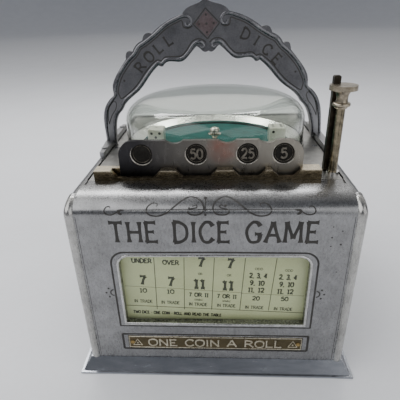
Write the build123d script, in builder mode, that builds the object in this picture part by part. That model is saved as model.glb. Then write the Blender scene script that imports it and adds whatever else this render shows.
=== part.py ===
from build123d import *
from math import cos, radians, sin
import os

# Countertop coin and dice game with a cast aluminium cabinet, in millimetres.
# +X is the player's right, +Y runs to the back, +Z is up.  The origin lies on the table,
# under the middle of the flared base.

os.makedirs("parts", exist_ok=True)

# ---- cabinet -----------------------------------------------------------------------------------
BODY_W = 215.0            # outside width of the cabinet walls
BODY_D = 244.0            # front face to back face
DECK_Z = 163.0            # top of the deck plate
DECK_T = 5.0
RIM = 1.0                 # the walls stand this much above the deck
SIDE_WALL = 7.5
FRONT_WALL = 5.5
REAR_WALL = 6.0
CORNER_POST = 8.0         # depth of the front casting's corner posts
TOP_ROUND = 7.0           # outer rounding along the top of the walls
NOSE_DEPTH = 27.0         # the front curves back by this much
NOSE_HEIGHT = 12.0        # over this height
FLANGE_D = 10.5           # top flange behind the nose, up to the deck plate
SKIRT_H = 12.0
SKIRT_OUT = 9.0           # flare of the base beyond the walls
SKIRT_LIP = 1.8
LEDGE = 6.0               # width and half height of the ledge that the base plate meets
BASE_PLATE_T = 3.0
BEAD_R = 3.75             # half-round moulding down each front corner
BEAD_OUT = 2.0
BEAD_END = 62.0           # degrees round the curved top at which the moulding dies away
LUG_W = 7.0               # lugs inside the side walls that carry the deck
LUG_H = 6.0
LUG_Y = (-3.0, 92.0)
LUG_LEN = 14.0
CLEAR = 0.3               # between neighbours that don't touch
SEAM = 0.8                # joint between deck plate and walls
RUN = 0.05                # radial clearance of a shaft, pin or screw

# ---- window, pay card and name plate -----------------------------------------------------------
WINDOW_W = 145.0
WINDOW_LOW = 51.0
WINDOW_HIGH = 117.0
WINDOW_ROUND = 9.0
CARD_LAP = 6.0            # glass and card reach this far past the opening
GLASS_T = 2.0
CARD_T = 0.8
BACKING_T = 1.5
CLIP_SIZE = (16.0, 10.0)
CLIP_IN = 7.0             # clip screw, outside the card's edge
CLIP_SCREW_R = 1.5
PLATE_W = 146.0           # name plate
PLATE_H = 13.5
PLATE_MID_Z = 29.75
PLATE_T = 1.5
PLATE_SINK = 1.2
PLATE_PIN_R = 1.0
PLATE_PIN_INSET = 3.4

# ---- rear door and lock ------------------------------------------------------------------------
DOOR_W = 140.0
DOOR_LOW = 18.0
DOOR_HIGH = 142.0
DOOR_LIP = 4.0
DOOR_LIP_T = 2.5
DOOR_T = 3.0
HINGE_Z = (45.0, 115.0)
HINGE_LEN = 24.0
KNUCKLE_R = 2.4
KNUCKLE_LEN = 8.0
HINGE_PIN_R = 1.2
HINGE_LEAF_T = 1.4
HINGE_LEAF_W = 11.5
LOCK_X = 55.0
LOCK_Z = 80.0
LOCK_R = 7.5
PLUG_R = 5.0
CAM_REACH = 16.0
CAM_W = 9.0
CAM_T = 1.6

# ---- coin bar and coin head --------------------------------------------------------------------
BAR_LEFT = -94.0
BAR_RIGHT = 83.0
BAR_D = 11.8
BAR_H = 8.0
HEAD_LEFT = -74.5
HEAD_RIGHT = 69.5
HEAD_T = 4.0
HEAD_TOP = 193.0
HEAD_END_R = 12.0
VALLEYS = (-30.0, 11.0, 42.0)     # dips between the four lobes
VALLEY_DEPTH = 2.6
WINDOW_D = 17.0                   # round recesses in the head
WINDOW_SINK = 1.2
WINDOW_Z = 182.0
WINDOW_X = (-56.0, -13.0, 26.7, 54.4)
COIN_D = (38.1, 30.6, 24.3, 21.2)
COIN_X = (-61.0, -13.2, 28.0, 56.3)
COIN_PLAY = 1.3
SLOT_T = 3.3
SLOT_WALL = 3.6                   # bar in front of the slots
NOTCH_FLOOR = 2.5                 # what is left of that wall under each notch
CHUTE_WALL = 1.2
CHUTE_LOW = 70.0
SHUTTER_T = 2.0
SHUTTER_DROP = 1.4                # below the deck plate
SHUTTER_REAR = -64.0

# ---- plunger and its guide post ----------------------------------------------------------------
PLUNGER_X = 94.2
PLUNGER_Y = -72.0
PLUNGER_R = 3.3
PLUNGER_LOW_R = 2.6
PLUNGER_TOP = 215.0
STROKE = 18.0
CAP_H = 16.5
CAP_DISC_R = 10.0
CAP_DISC_T = 3.5
CAP_WAIST_R = 4.5
CAP_BEAD_R = 6.5
POST_X = 91.0
POST_Y = -64.0
POST_SIDE = 5.0
POST_TOP = 237.0
BUSH_R = 4.1
COLLAR_R = 4.8
COLLAR_T = 3.0
GUIDE_LOW = 111.0
GUIDE_T = 3.0
SPRING_R = 4.2
SPRING_WIRE_R = 0.45

# ---- rocker and lifting table ------------------------------------------------------------------
SHAFT_Y = -4.0
SHAFT_Z = 96.0
SHAFT_R = 4.0
SHAFT_ENDS = (-15.0, 98.0)
HALF_SWING = 7.6                  # degrees either side of level
ARM_REACH = 68.0                  # to the plunger
LIFT_REACH = 20.0                 # to the table's stem
SHUTTER_REACH = 34.0              # up to the shutter's fork
SHUTTER_ARM_X = 40.0
TIP_R = 4.0
FORK_TIP_R = 2.5
BRACKET_R = 8.0                   # half width of the shaft brackets
HUB_R = 6.5
NECK_R = 2.5                      # an arm narrows to this behind its rounded tip
STEM_R = 4.0
TABLE_X = 0.0
TABLE_Y = 16.0
TABLE_R = 72.0
TABLE_T = 2.8
TABLE_BOSS_R = 12.0
TABLE_BOSS_H = 8.5
FELT_T = 1.2
FELT_Z = 161.5                    # where the dice rest
BRIDGE_Z = 128.0
BRIDGE_T = 5.0
BRIDGE_W = 16.0
BRIDGE_END = 88.0
INNER_BRACKET_X = -14.0
OUTER_BRACKET_X = 80.0
BRACKET_T = 4.0
DIE = 16.0
DIE_PLACES = ((-58.5, 16.0), (61.5, 16.5))
DIE_ROUND = 1.5

# ---- dome --------------------------------------------------------------------------------------
DOME_R = 86.0
DOME_T = 2.4
DOME_WALL_TOP = 189.0
DOME_CROWN_R = 58.0
DOME_TOP = 210.0
CROWN_RISE = 1.5                  # the flat top is crowned by this much
RING_T = 1.5              # ring round the table: thin at the table, high at the glass
RING_H = 6.0
BEZEL_H = 5.0
BEZEL_T = 0.8
GASKET_T = 0.6

# ---- handle arch -------------------------------------------------------------------------------
ARCH_T = 6.0
ARCH_SPREAD = 107.4               # outer edge of each leg where it meets the foot
ARCH_RISE = 128.5                 # top of the crest above the deck
ARCH_LEAN = 0.06                  # sideways, for each unit of height
ARCH_TILT = 0.0003                # one side stands this much higher, for each mm from the middle
ARCH_YAW = 5.0                    # degrees, the right leg stands further back
FOOT_T = 4.5
FOOT_LEN = 96.0
FOOT_FULL = 14.0                  # full width this far either side of the leg
FOOT_TAPER = 3.4                  # narrower at its ends

# ---- cash tray ---------------------------------------------------------------------------------
TRAY_W = 132.0
TRAY_FRONT = -98.0
TRAY_BACK = 112.0
TRAY_Z = 18.0
TRAY_H = 40.0
TRAY_WALL = 1.2

half_w = BODY_W / 2
front = -BODY_D / 2
back = BODY_D / 2
inner_x = half_w - SIDE_WALL
inner_front = front + FRONT_WALL
rear_inner = back - REAR_WALL
side_front = front + CORNER_POST
wall_top = DECK_Z + RIM
nose_low = wall_top - NOSE_HEIGHT
nose_back = front + NOSE_DEPTH
flange_back = nose_back + FLANGE_D
deck_low = DECK_Z - DECK_T
deck_front = flange_back + CLEAR
deck_half = inner_x - SEAM
base_top = LEDGE


def block(low, high, mode=Mode.ADD):
    """A box between two opposite corners, in the current part."""
    size = [b - a for a, b in zip(low, high)]
    with Locations(low):
        Box(*size, align=(Align.MIN, Align.MIN, Align.MIN), mode=mode)


def rod(start, length, radius, along="Z", mode=Mode.ADD):
    """A cylinder that starts at a point and runs along +X, +Y or +Z, in the current part."""
    turn = {"X": (0, 90, 0), "Y": (-90, 0, 0), "Z": (0, 0, 0)}[along]
    with Locations(Location(start, turn)):
        Cylinder(radius, length, align=(Align.CENTER, Align.CENTER, Align.MIN), mode=mode)


def save(part, name):
    """Label a finished piece and write it under its own name."""
    part.label = name
    export_step(part, f"parts/{name}.step")


def front_plane(y):
    """Plane that faces the player, at a depth y."""
    return Plane.XZ.offset(-y)


# ======== base ==================================================================================
plate_x = half_w - SIDE_WALL - 0.5
plate_y = back - CORNER_POST
base_screws_at = [(sx * (plate_x - LEDGE / 2), sy * plate_y * 0.7) for sx in (-1, 1) for sy in (-1, 1)]
base_screw_r = 1.5

with BuildPart() as base_skirt:
    block((-half_w - SKIRT_OUT, front - SKIRT_OUT, 0), (half_w + SKIRT_OUT, back + SKIRT_OUT, SKIRT_LIP))
    with BuildSketch(Plane.XY.offset(SKIRT_LIP)):
        Rectangle(BODY_W + 2 * SKIRT_OUT - 4, BODY_D + 2 * SKIRT_OUT - 4)
    with BuildSketch(Plane.XY.offset(SKIRT_H)):
        Rectangle(BODY_W + 1, BODY_D + 1)
    loft()
    block((-plate_x, -plate_y, 0), (plate_x, plate_y, base_top), Mode.SUBTRACT)
    block((LEDGE - plate_x, LEDGE - plate_y, 0), (plate_x - LEDGE, plate_y - LEDGE, SKIRT_H), Mode.SUBTRACT)
    for x, y in base_screws_at:
        rod((x, y, base_top), 4 + RUN, base_screw_r + RUN, mode=Mode.SUBTRACT)
save(base_skirt.part, "base_skirt")

with BuildPart() as base_plate:
    block((CLEAR - plate_x, CLEAR - plate_y, base_top - BASE_PLATE_T),
          (plate_x - CLEAR, plate_y - CLEAR, base_top))
    for x, y in base_screws_at:
        rod((x, y, 0), base_top, base_screw_r + RUN, mode=Mode.SUBTRACT)
save(base_plate.part, "base_plate")

with BuildPart() as base_screws:
    for x, y in base_screws_at:
        rod((x, y, base_top - BASE_PLATE_T - 1.6), 1.6, 3.0)
        rod((x, y, base_top - BASE_PLATE_T), BASE_PLATE_T + 4, base_screw_r)
save(base_screws.part, "base_screws")

# ======== front casting =========================================================================
card_x = WINDOW_W / 2 + CARD_LAP
card_low = WINDOW_LOW - CARD_LAP
card_high = WINDOW_HIGH + CARD_LAP
glass_back = inner_front + GLASS_T
card_back = glass_back + CARD_T
backing_back = card_back + BACKING_T
clips_at = [(sx * (card_x + CLIP_IN), z) for sx in (-1, 1) for z in (card_low + 15, card_high - 15)]
plate_face = front - (PLATE_T - PLATE_SINK)
plate_floor = front + PLATE_SINK
plate_pins_x = PLATE_W / 2 - PLATE_PIN_INSET

with BuildPart() as front_casting:
    with BuildSketch(Plane.YZ):
        with BuildLine():
            Polyline((flange_back, SKIRT_H), (front, SKIRT_H), (front, nose_low))
            EllipticalCenterArc((nose_back, nose_low), NOSE_DEPTH, NOSE_HEIGHT, 180, arc_size=-90)
            Polyline((nose_back, wall_top), (flange_back, wall_top), (flange_back, SKIRT_H))
        make_face()
    extrude(amount=half_w, both=True)
    # rounded top corners, seen from the front
    with BuildSketch(front_plane(front)):
        with Locations((0, (SKIRT_H + wall_top) / 2)):
            Rectangle(BODY_W, wall_top - SKIRT_H)
    extrude(amount=-NOSE_DEPTH - FLANGE_D, mode=Mode.INTERSECT)
    fillet(front_casting.edges().filter_by(Axis.Y).group_by(Axis.Z)[-1], TOP_ROUND)
    # hollow behind the wall and under the nose
    with BuildSketch(Plane.YZ):
        with BuildLine():
            Polyline((flange_back, SKIRT_H), (inner_front, SKIRT_H), (inner_front, nose_low - 6))
            ThreePointArc((inner_front, nose_low - 6), (inner_front + 6, deck_low - 6.5),
                          (nose_back - 6, deck_low))
            Polyline((nose_back - 6, deck_low), (flange_back, deck_low), (flange_back, SKIRT_H))
        make_face()
    extrude(amount=inner_x, both=True, mode=Mode.SUBTRACT)
    for side in (-1, 1):
        low_x, high_x = sorted((side * inner_x, side * (half_w + 1)))
        block((low_x, side_front, 0), (high_x, flange_back, nose_low - 2), Mode.SUBTRACT)
    # the deck runs level up to the crest
    block((-deck_half, nose_back + 1.5, DECK_Z), (deck_half, flange_back, wall_top), Mode.SUBTRACT)
    # moulding down each corner
    for side in (-1, 1):
        bead_x = side * (half_w - BEAD_R)
        rod((bead_x, front - BEAD_OUT + BEAD_R, SKIRT_H), nose_low - SKIRT_H - 2, BEAD_R)
        rod((bead_x, front - BEAD_OUT + BEAD_R, nose_low - 3), 3, BEAD_R)
        with BuildLine(Plane.YZ.offset(bead_x)) as bead_path:
            EllipticalCenterArc((nose_back, nose_low), NOSE_DEPTH + BEAD_OUT - BEAD_R, NOSE_HEIGHT - BEAD_R,
                                180, arc_size=-BEAD_END)
        with BuildSketch(Plane((bead_x, front - BEAD_OUT + BEAD_R, nose_low))) as bead_face:
            Circle(BEAD_R)
        sweep(sections=bead_face.sketch, path=bead_path.line, is_frenet=True)
        with Locations(bead_path.line @ 1):
            Sphere(BEAD_R)
    # window
    with BuildSketch(front_plane(front - 1)):
        with BuildLine():
            Polyline((-WINDOW_W / 2, WINDOW_HIGH - WINDOW_ROUND), (-WINDOW_W / 2, WINDOW_LOW),
                     (WINDOW_W / 2, WINDOW_LOW), (WINDOW_W / 2, WINDOW_HIGH - WINDOW_ROUND))
            RadiusArc((WINDOW_W / 2, WINDOW_HIGH - WINDOW_ROUND),
                      (WINDOW_W / 2 - WINDOW_ROUND, WINDOW_HIGH), -WINDOW_ROUND)
            Line((WINDOW_W / 2 - WINDOW_ROUND, WINDOW_HIGH), (WINDOW_ROUND - WINDOW_W / 2, WINDOW_HIGH))
            RadiusArc((WINDOW_ROUND - WINDOW_W / 2, WINDOW_HIGH),
                      (-WINDOW_W / 2, WINDOW_HIGH - WINDOW_ROUND), -WINDOW_ROUND)
        make_face()
    extrude(amount=-FRONT_WALL - 2, mode=Mode.SUBTRACT)
    # pocket and pin holes of the name plate
    block((-PLATE_W / 2 - CLEAR, front - 1, PLATE_MID_Z - PLATE_H / 2 - CLEAR),
          (PLATE_W / 2 + CLEAR, plate_floor, PLATE_MID_Z + PLATE_H / 2 + CLEAR), Mode.SUBTRACT)
    for side in (-1, 1):
        rod((side * plate_pins_x, front - 1, PLATE_MID_Z), 4.5 + RUN, PLATE_PIN_R + RUN, "Y", Mode.SUBTRACT)
    # bosses for the card clips
    for x, z in clips_at:
        rod((x, inner_front - 1, z), backing_back - inner_front + 1, 4.0, "Y")
        rod((x, inner_front + 0.5, z), backing_back - inner_front, CLIP_SCREW_R + RUN, "Y", Mode.SUBTRACT)
save(front_casting.part, "front_casting")

# ======== side castings =========================================================================
for side, name in ((-1, "left_side_casting"), (1, "right_side_casting")):
    with BuildPart() as side_casting:
        with BuildSketch(Plane.YZ.offset(side * inner_x)):
            with BuildLine():
                Polyline((side_front, SKIRT_H), (rear_inner, SKIRT_H), (rear_inner, wall_top),
                         (flange_back, wall_top), (flange_back, nose_low - 2),
                         (side_front, nose_low - 2), close=True)
            make_face()
        extrude(amount=side * SIDE_WALL)
        outer_top = side_casting.edges().filter_by(Axis.Y).group_by(Axis.Z)[-1]
        fillet(outer_top.sort_by(Axis.X)[-1 if side > 0 else 0], TOP_ROUND)
        for y in LUG_Y:
            low_x, high_x = sorted((side * (inner_x - LUG_W), side * (inner_x + 1)))
            block((low_x, y - LUG_LEN / 2, deck_low - LUG_H), (high_x, y + LUG_LEN / 2, deck_low))
            rod((side * (inner_x - LUG_W / 2 - 1), y, deck_low - 5), 5, 1.5 + RUN, mode=Mode.SUBTRACT)
    save(side_casting.part, name)

# ======== rear frame, door, hinges and lock =====================================================
door_half = DOOR_W / 2
lip_y = rear_inner + DOOR_LIP_T
door_front = lip_y + CLEAR
door_back = door_front + DOOR_T
hinge_x = -door_half - KNUCKLE_R - 0.2
hinge_y = back + KNUCKLE_R + 0.1
leaf_gap = 0.3
knuckle_out = HINGE_LEN / 2

with BuildPart() as rear_frame:
    with BuildSketch(front_plane(rear_inner)):
        with Locations((0, (SKIRT_H + wall_top) / 2)):
            outline = Rectangle(BODY_W, wall_top - SKIRT_H)
        fillet(outline.vertices().group_by(Axis.Z)[-1], TOP_ROUND)
    extrude(amount=-REAR_WALL)
    block((DOOR_LIP - door_half, rear_inner - 1, DOOR_LOW + DOOR_LIP),
          (door_half - DOOR_LIP, back + 1, DOOR_HIGH - DOOR_LIP), Mode.SUBTRACT)
    block((-door_half, lip_y, DOOR_LOW), (door_half, back + 1, DOOR_HIGH), Mode.SUBTRACT)
save(rear_frame.part, "rear_frame")

with BuildPart() as rear_door:
    block((0.4 - door_half, door_front, DOOR_LOW + 0.4), (door_half - 0.4, door_back, DOOR_HIGH - 0.4))
    rod((LOCK_X, door_front - 1, LOCK_Z), DOOR_T + 2, LOCK_R + RUN, "Y", Mode.SUBTRACT)
save(rear_door.part, "rear_door")

with BuildPart() as hinge_frame_leaves:
    for z in HINGE_Z:
        block((hinge_x - HINGE_LEAF_W, back, z - knuckle_out),
              (hinge_x - KNUCKLE_R - leaf_gap, back + HINGE_LEAF_T, z + knuckle_out))
        for low in (z - knuckle_out, z + knuckle_out - KNUCKLE_LEN + leaf_gap / 2):
            length = KNUCKLE_LEN - leaf_gap / 2
            block((hinge_x - KNUCKLE_R - leaf_gap, back, low), (hinge_x, back + HINGE_LEAF_T, low + length))
            rod((hinge_x, hinge_y, low), length, KNUCKLE_R)
            rod((hinge_x, hinge_y, low - 1), length + 2, HINGE_PIN_R + RUN, mode=Mode.SUBTRACT)
save(hinge_frame_leaves.part, "hinge_frame_leaves")

with BuildPart() as hinge_door_leaves:
    for z in HINGE_Z:
        low = z - KNUCKLE_LEN / 2 + leaf_gap / 2
        length = KNUCKLE_LEN - leaf_gap
        block((hinge_x + KNUCKLE_R + leaf_gap, door_back, z - knuckle_out),
              (hinge_x + HINGE_LEAF_W + 3, door_back + HINGE_LEAF_T, z + knuckle_out))
        block((hinge_x, door_back + CLEAR, low),
              (hinge_x + KNUCKLE_R + leaf_gap, door_back + HINGE_LEAF_T, low + length))
        rod((hinge_x, hinge_y, low), length, KNUCKLE_R)
        rod((hinge_x, hinge_y, low - 1), length + 2, HINGE_PIN_R + RUN, mode=Mode.SUBTRACT)
save(hinge_door_leaves.part, "hinge_door_leaves")

with BuildPart() as hinge_pins:
    for z in HINGE_Z:
        rod((hinge_x, hinge_y, z - knuckle_out - 0.6), HINGE_LEN + 1.2, HINGE_PIN_R)
save(hinge_pins.part, "hinge_pins")

with BuildPart() as lock_barrel:
    rod((LOCK_X, rear_inner - 1, LOCK_Z), door_back + 1 - rear_inner, LOCK_R, "Y")
    rod((LOCK_X, door_back, LOCK_Z), 1.6, LOCK_R + 2.5, "Y")
    rod((LOCK_X, rear_inner - 2, LOCK_Z), door_back - rear_inner + 5, PLUG_R + RUN, "Y", Mode.SUBTRACT)
save(lock_barrel.part, "lock_barrel")

cam_front = rear_inner - 1 - CLEAR - CAM_T
with BuildPart() as lock_plug:
    rod((LOCK_X, rear_inner - 1 - CLEAR, LOCK_Z), door_back + 1.6 + 1 + CLEAR - rear_inner, PLUG_R, "Y")
    rod((LOCK_X, cam_front - 1.5, LOCK_Z), CAM_T + 1.5, 2.0, "Y")
    block((LOCK_X - 0.6, door_back, LOCK_Z - 2.6), (LOCK_X + 0.6, back + 4, LOCK_Z + 2.6), Mode.SUBTRACT)
save(lock_plug.part, "lock_plug")

with BuildPart() as lock_cam:
    with BuildSketch(front_plane(cam_front)):
        with Locations((LOCK_X, LOCK_Z)):
            Circle(CAM_W / 2)
        with Locations((LOCK_X, LOCK_Z + CAM_REACH / 2)):
            Rectangle(CAM_W, CAM_REACH)
        with Locations((LOCK_X, LOCK_Z)):
            Circle(2.0 + RUN, mode=Mode.SUBTRACT)
    extrude(amount=-CAM_T)
save(lock_cam.part, "lock_cam")

# ======== window glass, card, backing, clips, name plate ========================================
for name, y0, y1 in (("card_glass", inner_front, glass_back),
                     ("pay_card", glass_back, card_back),
                     ("card_backing", card_back, backing_back)):
    with BuildPart() as pane:
        block((-card_x, y0, card_low), (card_x, y1, card_high))
    save(pane.part, name)

with BuildPart() as backing_clips:
    for x, z in clips_at:
        mid_x = x - (3 if x > 0 else -3)
        block((mid_x - CLIP_SIZE[0] / 2, backing_back, z - CLIP_SIZE[1] / 2),
              (mid_x + CLIP_SIZE[0] / 2, backing_back + 1.5, z + CLIP_SIZE[1] / 2))
        rod((x, backing_back - 1, z), 4, CLIP_SCREW_R + RUN, "Y", Mode.SUBTRACT)
save(backing_clips.part, "backing_clips")

with BuildPart() as clip_screws:
    for x, z in clips_at:
        rod((x, inner_front + 1, z), backing_back + 0.5 - inner_front, CLIP_SCREW_R, "Y")
        rod((x, backing_back + 1.5, z), 1.6, 3.0, "Y")
save(clip_screws.part, "clip_screws")

with BuildPart() as name_plate:
    block((-PLATE_W / 2, plate_face, PLATE_MID_Z - PLATE_H / 2),
          (PLATE_W / 2, plate_floor, PLATE_MID_Z + PLATE_H / 2))
    for side in (-1, 1):
        rod((side * plate_pins_x, plate_face - 1, PLATE_MID_Z), 4, PLATE_PIN_R + RUN, "Y", Mode.SUBTRACT)
save(name_plate.part, "name_plate")

with BuildPart() as name_plate_pins:
    for side in (-1, 1):
        rod((side * plate_pins_x, plate_face - 0.6, PLATE_MID_Z), 0.6, 1.8, "Y")
        rod((side * plate_pins_x, plate_face, PLATE_MID_Z), front + 3 - plate_face, PLATE_PIN_R, "Y")
save(name_plate_pins.part, "name_plate_pins")

# ======== deck plate ============================================================================
bar_front = deck_front + 0.2
slot_front = bar_front + SLOT_WALL
slot_back = slot_front + SLOT_T
head_front = slot_back
slots = [(x - d / 2 - COIN_PLAY / 2, x + d / 2 + COIN_PLAY / 2) for x, d in zip(COIN_X, COIN_D)]
deck_screw_x = inner_x - LUG_W / 2 - 1

with BuildPart() as deck_plate:
    block((-deck_half, deck_front, deck_low), (deck_half, rear_inner - CLEAR, DECK_Z))
    rod((TABLE_X, TABLE_Y, deck_low - 1), DECK_T + 2, TABLE_R + 0.6, mode=Mode.SUBTRACT)
    for x0, x1 in slots:
        block((x0, slot_front, deck_low - 1), (x1, slot_back, DECK_Z + 1), Mode.SUBTRACT)
    rod((PLUNGER_X, PLUNGER_Y, deck_low - 1), DECK_T + 2, BUSH_R + RUN, mode=Mode.SUBTRACT)
    rod((POST_X, POST_Y, deck_low - 1), DECK_T + 2, 2.2 + RUN, mode=Mode.SUBTRACT)
    for side in (-1, 1):
        for y in LUG_Y:
            rod((side * deck_screw_x, y, deck_low - 1), DECK_T + 2, 1.5 + RUN, mode=Mode.SUBTRACT)
            rod((side * deck_screw_x, y, DECK_Z - 1.5), 3, 2.6 + RUN, mode=Mode.SUBTRACT)
save(deck_plate.part, "deck_plate")

with BuildPart() as deck_screws:
    for side in (-1, 1):
        for y in LUG_Y:
            rod((side * deck_screw_x, y, deck_low - 4), DECK_T + 4, 1.5)
            rod((side * deck_screw_x, y, DECK_Z - 1.5), 1.5, 2.6)
            block((side * deck_screw_x - 3, y - 0.4, DECK_Z - 0.7),
                  (side * deck_screw_x + 3, y + 0.4, DECK_Z + 1), Mode.SUBTRACT)
save(deck_screws.part, "deck_screws")

# ======== coin bar and head =====================================================================
bar_top = DECK_Z + BAR_H
with BuildPart() as coin_bar:
    block((BAR_LEFT, bar_front, DECK_Z), (BAR_RIGHT, bar_front + BAR_D, bar_top))
    block((HEAD_LEFT - CLEAR, head_front, DECK_Z - 1),
          (HEAD_RIGHT + CLEAR, bar_front + BAR_D + 1, bar_top + 1), Mode.SUBTRACT)
    for x0, x1 in slots:
        block((x0, slot_front, DECK_Z - 1), (x1, slot_back, bar_top + 1), Mode.SUBTRACT)
    # a thumb notch in front of each slot
    for x0, x1 in slots:
        floor_z = DECK_Z + NOTCH_FLOOR
        rise = BAR_H - NOTCH_FLOOR
        with BuildSketch(front_plane(bar_front - 1)):
            Polygon((x0 - 1, bar_top + 1), (x0 + rise, floor_z), (x1 - rise, floor_z), (x1 + 1, bar_top + 1),
                    align=None)
        extrude(amount=-SLOT_WALL - 1 - SLOT_T / 2, mode=Mode.SUBTRACT)
save(coin_bar.part, "coin_bar")

head_low = DECK_Z
lobes = (HEAD_LEFT,) + VALLEYS + (HEAD_RIGHT,)
with BuildPart() as coin_head:
    with BuildSketch(front_plane(head_front)):
        with BuildLine():
            Polyline((HEAD_LEFT, HEAD_TOP - HEAD_END_R), (HEAD_LEFT, head_low), (HEAD_RIGHT, head_low),
                     (HEAD_RIGHT, HEAD_TOP - HEAD_END_R))
            RadiusArc((HEAD_RIGHT, HEAD_TOP - HEAD_END_R), (HEAD_RIGHT - HEAD_END_R, HEAD_TOP), -HEAD_END_R)
            edge = (HEAD_RIGHT - HEAD_END_R, HEAD_TOP)
            for valley in reversed(VALLEYS):
                Line(edge, (valley + 7, HEAD_TOP))
                edge = (valley - 7, HEAD_TOP)
                ThreePointArc((valley + 7, HEAD_TOP), (valley, HEAD_TOP - VALLEY_DEPTH), edge)
            Line(edge, (HEAD_LEFT + HEAD_END_R, HEAD_TOP))
            RadiusArc((HEAD_LEFT + HEAD_END_R, HEAD_TOP), (HEAD_LEFT, HEAD_TOP - HEAD_END_R), -HEAD_END_R)
        make_face()
    extrude(amount=-HEAD_T)
    for x in WINDOW_X:
        rod((x, head_front - 1, WINDOW_Z), 1 + WINDOW_SINK, WINDOW_D / 2, "Y", Mode.SUBTRACT)
save(coin_head.part, "coin_head")

# ======== plunger ===============================================================================
tip_rise = ARM_REACH * sin(radians(HALF_SWING))
plunger_low = SHAFT_Z + tip_rise + TIP_R + CLEAR
bush_low = deck_low - 3
collar_top = bush_low - CLEAR - 0.2

with BuildPart() as plunger_rod:
    rod((PLUNGER_X, PLUNGER_Y, plunger_low), collar_top - plunger_low, PLUNGER_LOW_R)
    rod((PLUNGER_X, PLUNGER_Y, collar_top), PLUNGER_TOP - collar_top, PLUNGER_R)
    rod((PLUNGER_X, PLUNGER_Y, PLUNGER_TOP), 8, 2.5)
save(plunger_rod.part, "plunger_rod")

with BuildPart() as plunger_cap:
    with BuildSketch(Plane((PLUNGER_X, PLUNGER_Y, PLUNGER_TOP), x_dir=(1, 0, 0), z_dir=(0, -1, 0))):
        with BuildLine():
            Polyline((0, CAP_H), (0, 0), (CAP_WAIST_R, 0), (CAP_WAIST_R, 1))
            ThreePointArc((CAP_WAIST_R, 1), (CAP_BEAD_R, 2.6), (CAP_WAIST_R, 4.2))
            Spline((CAP_WAIST_R, 4.2), (CAP_WAIST_R, 9.5), (CAP_BEAD_R, CAP_H - CAP_DISC_T))
            Polyline((CAP_BEAD_R, CAP_H - CAP_DISC_T), (CAP_DISC_R, CAP_H - CAP_DISC_T),
                     (CAP_DISC_R, CAP_H), (0, CAP_H))
        make_face()
    revolve(axis=Axis((PLUNGER_X, PLUNGER_Y, 0), (0, 0, 1)))
    rod((PLUNGER_X, PLUNGER_Y, PLUNGER_TOP), 8 + RUN, 2.5 + RUN, mode=Mode.SUBTRACT)
    notch = POST_SIDE / 2 + CLEAR
    block((POST_X - notch, POST_Y - notch, PLUNGER_TOP - 1),
          (POST_X + notch, POST_Y + notch + CAP_DISC_R, PLUNGER_TOP + CAP_H + 1), Mode.SUBTRACT)
save(plunger_cap.part, "plunger_cap")

with BuildPart() as plunger_collar:
    rod((PLUNGER_X, PLUNGER_Y, collar_top - COLLAR_T), COLLAR_T, COLLAR_R)
    rod((PLUNGER_X, PLUNGER_Y, collar_top - COLLAR_T), COLLAR_T, PLUNGER_LOW_R + RUN, mode=Mode.SUBTRACT)
save(plunger_collar.part, "plunger_collar")

with BuildPart() as plunger_bushing:
    rod((PLUNGER_X, PLUNGER_Y, bush_low), DECK_Z - bush_low, BUSH_R)
    rod((PLUNGER_X, PLUNGER_Y, DECK_Z), 2.5, COLLAR_R)
    rod((PLUNGER_X, PLUNGER_Y, bush_low), DECK_T + 8, PLUNGER_R + RUN, mode=Mode.SUBTRACT)
save(plunger_bushing.part, "plunger_bushing")

guide_y = POST_Y + 4
with BuildPart() as plunger_guide:
    block((POST_X - 1, guide_y, GUIDE_LOW), (deck_half - 0.5, guide_y + 2, deck_low))
    block((POST_X - 1, PLUNGER_Y - 5, GUIDE_LOW), (deck_half - 0.5, guide_y + 2, GUIDE_LOW + GUIDE_T))
    block((POST_X - 1, guide_y, deck_low - GUIDE_T), (deck_half - 0.5, guide_y + 10, deck_low))
    rod((PLUNGER_X, PLUNGER_Y, GUIDE_LOW - 1), GUIDE_T + 2, PLUNGER_LOW_R + RUN, mode=Mode.SUBTRACT)
save(plunger_guide.part, "plunger_guide")

with BuildPart() as guide_post:
    block((POST_X - POST_SIDE / 2, POST_Y - POST_SIDE / 2, DECK_Z),
          (POST_X + POST_SIDE / 2, POST_Y + POST_SIDE / 2, POST_TOP))
    chamfer(guide_post.faces().sort_by(Axis.Z)[-1].edges(), 0.8)
    rod((POST_X, POST_Y, deck_low), DECK_T, 2.2)
save(guide_post.part, "guide_post")


def spring_coil(x, y, low, high, coil_r, wire_r, turns):
    """An open coil between two heights, in the current part."""
    height = high - low - 2 * wire_r
    path = Helix(pitch=height / turns, height=height, radius=coil_r, center=(x, y, low + wire_r),
                 mode=Mode.PRIVATE)
    with BuildSketch(Plane(origin=path @ 0, z_dir=path % 0)) as section:
        Circle(wire_r)
    sweep(sections=section.sketch, path=path, is_frenet=True)


with BuildPart() as plunger_spring:
    spring_coil(PLUNGER_X, PLUNGER_Y, GUIDE_LOW + GUIDE_T + 0.1, collar_top - COLLAR_T - 0.1,
                SPRING_R, SPRING_WIRE_R, 10)
save(plunger_spring.part, "plunger_spring")

# ======== rocker ================================================================================
swing = radians(HALF_SWING)


def rocker_arm(x0, x1, tip, tip_r):
    """A flat arm from the shaft to a rounded tip at (y, z), in the current part."""
    with BuildSketch(Plane.YZ.offset(x0)) as side_view:
        with Locations((SHAFT_Y, SHAFT_Z)):
            Circle(HUB_R)
        with Locations(tip):
            Circle(NECK_R)
        make_hull()
        with Locations(tip):
            Circle(tip_r)
    extrude(to_extrude=side_view.sketch, amount=x1 - x0)
    rod((x0 - 1, SHAFT_Y, SHAFT_Z), x1 - x0 + 2, SHAFT_R + RUN, "X", Mode.SUBTRACT)


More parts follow.
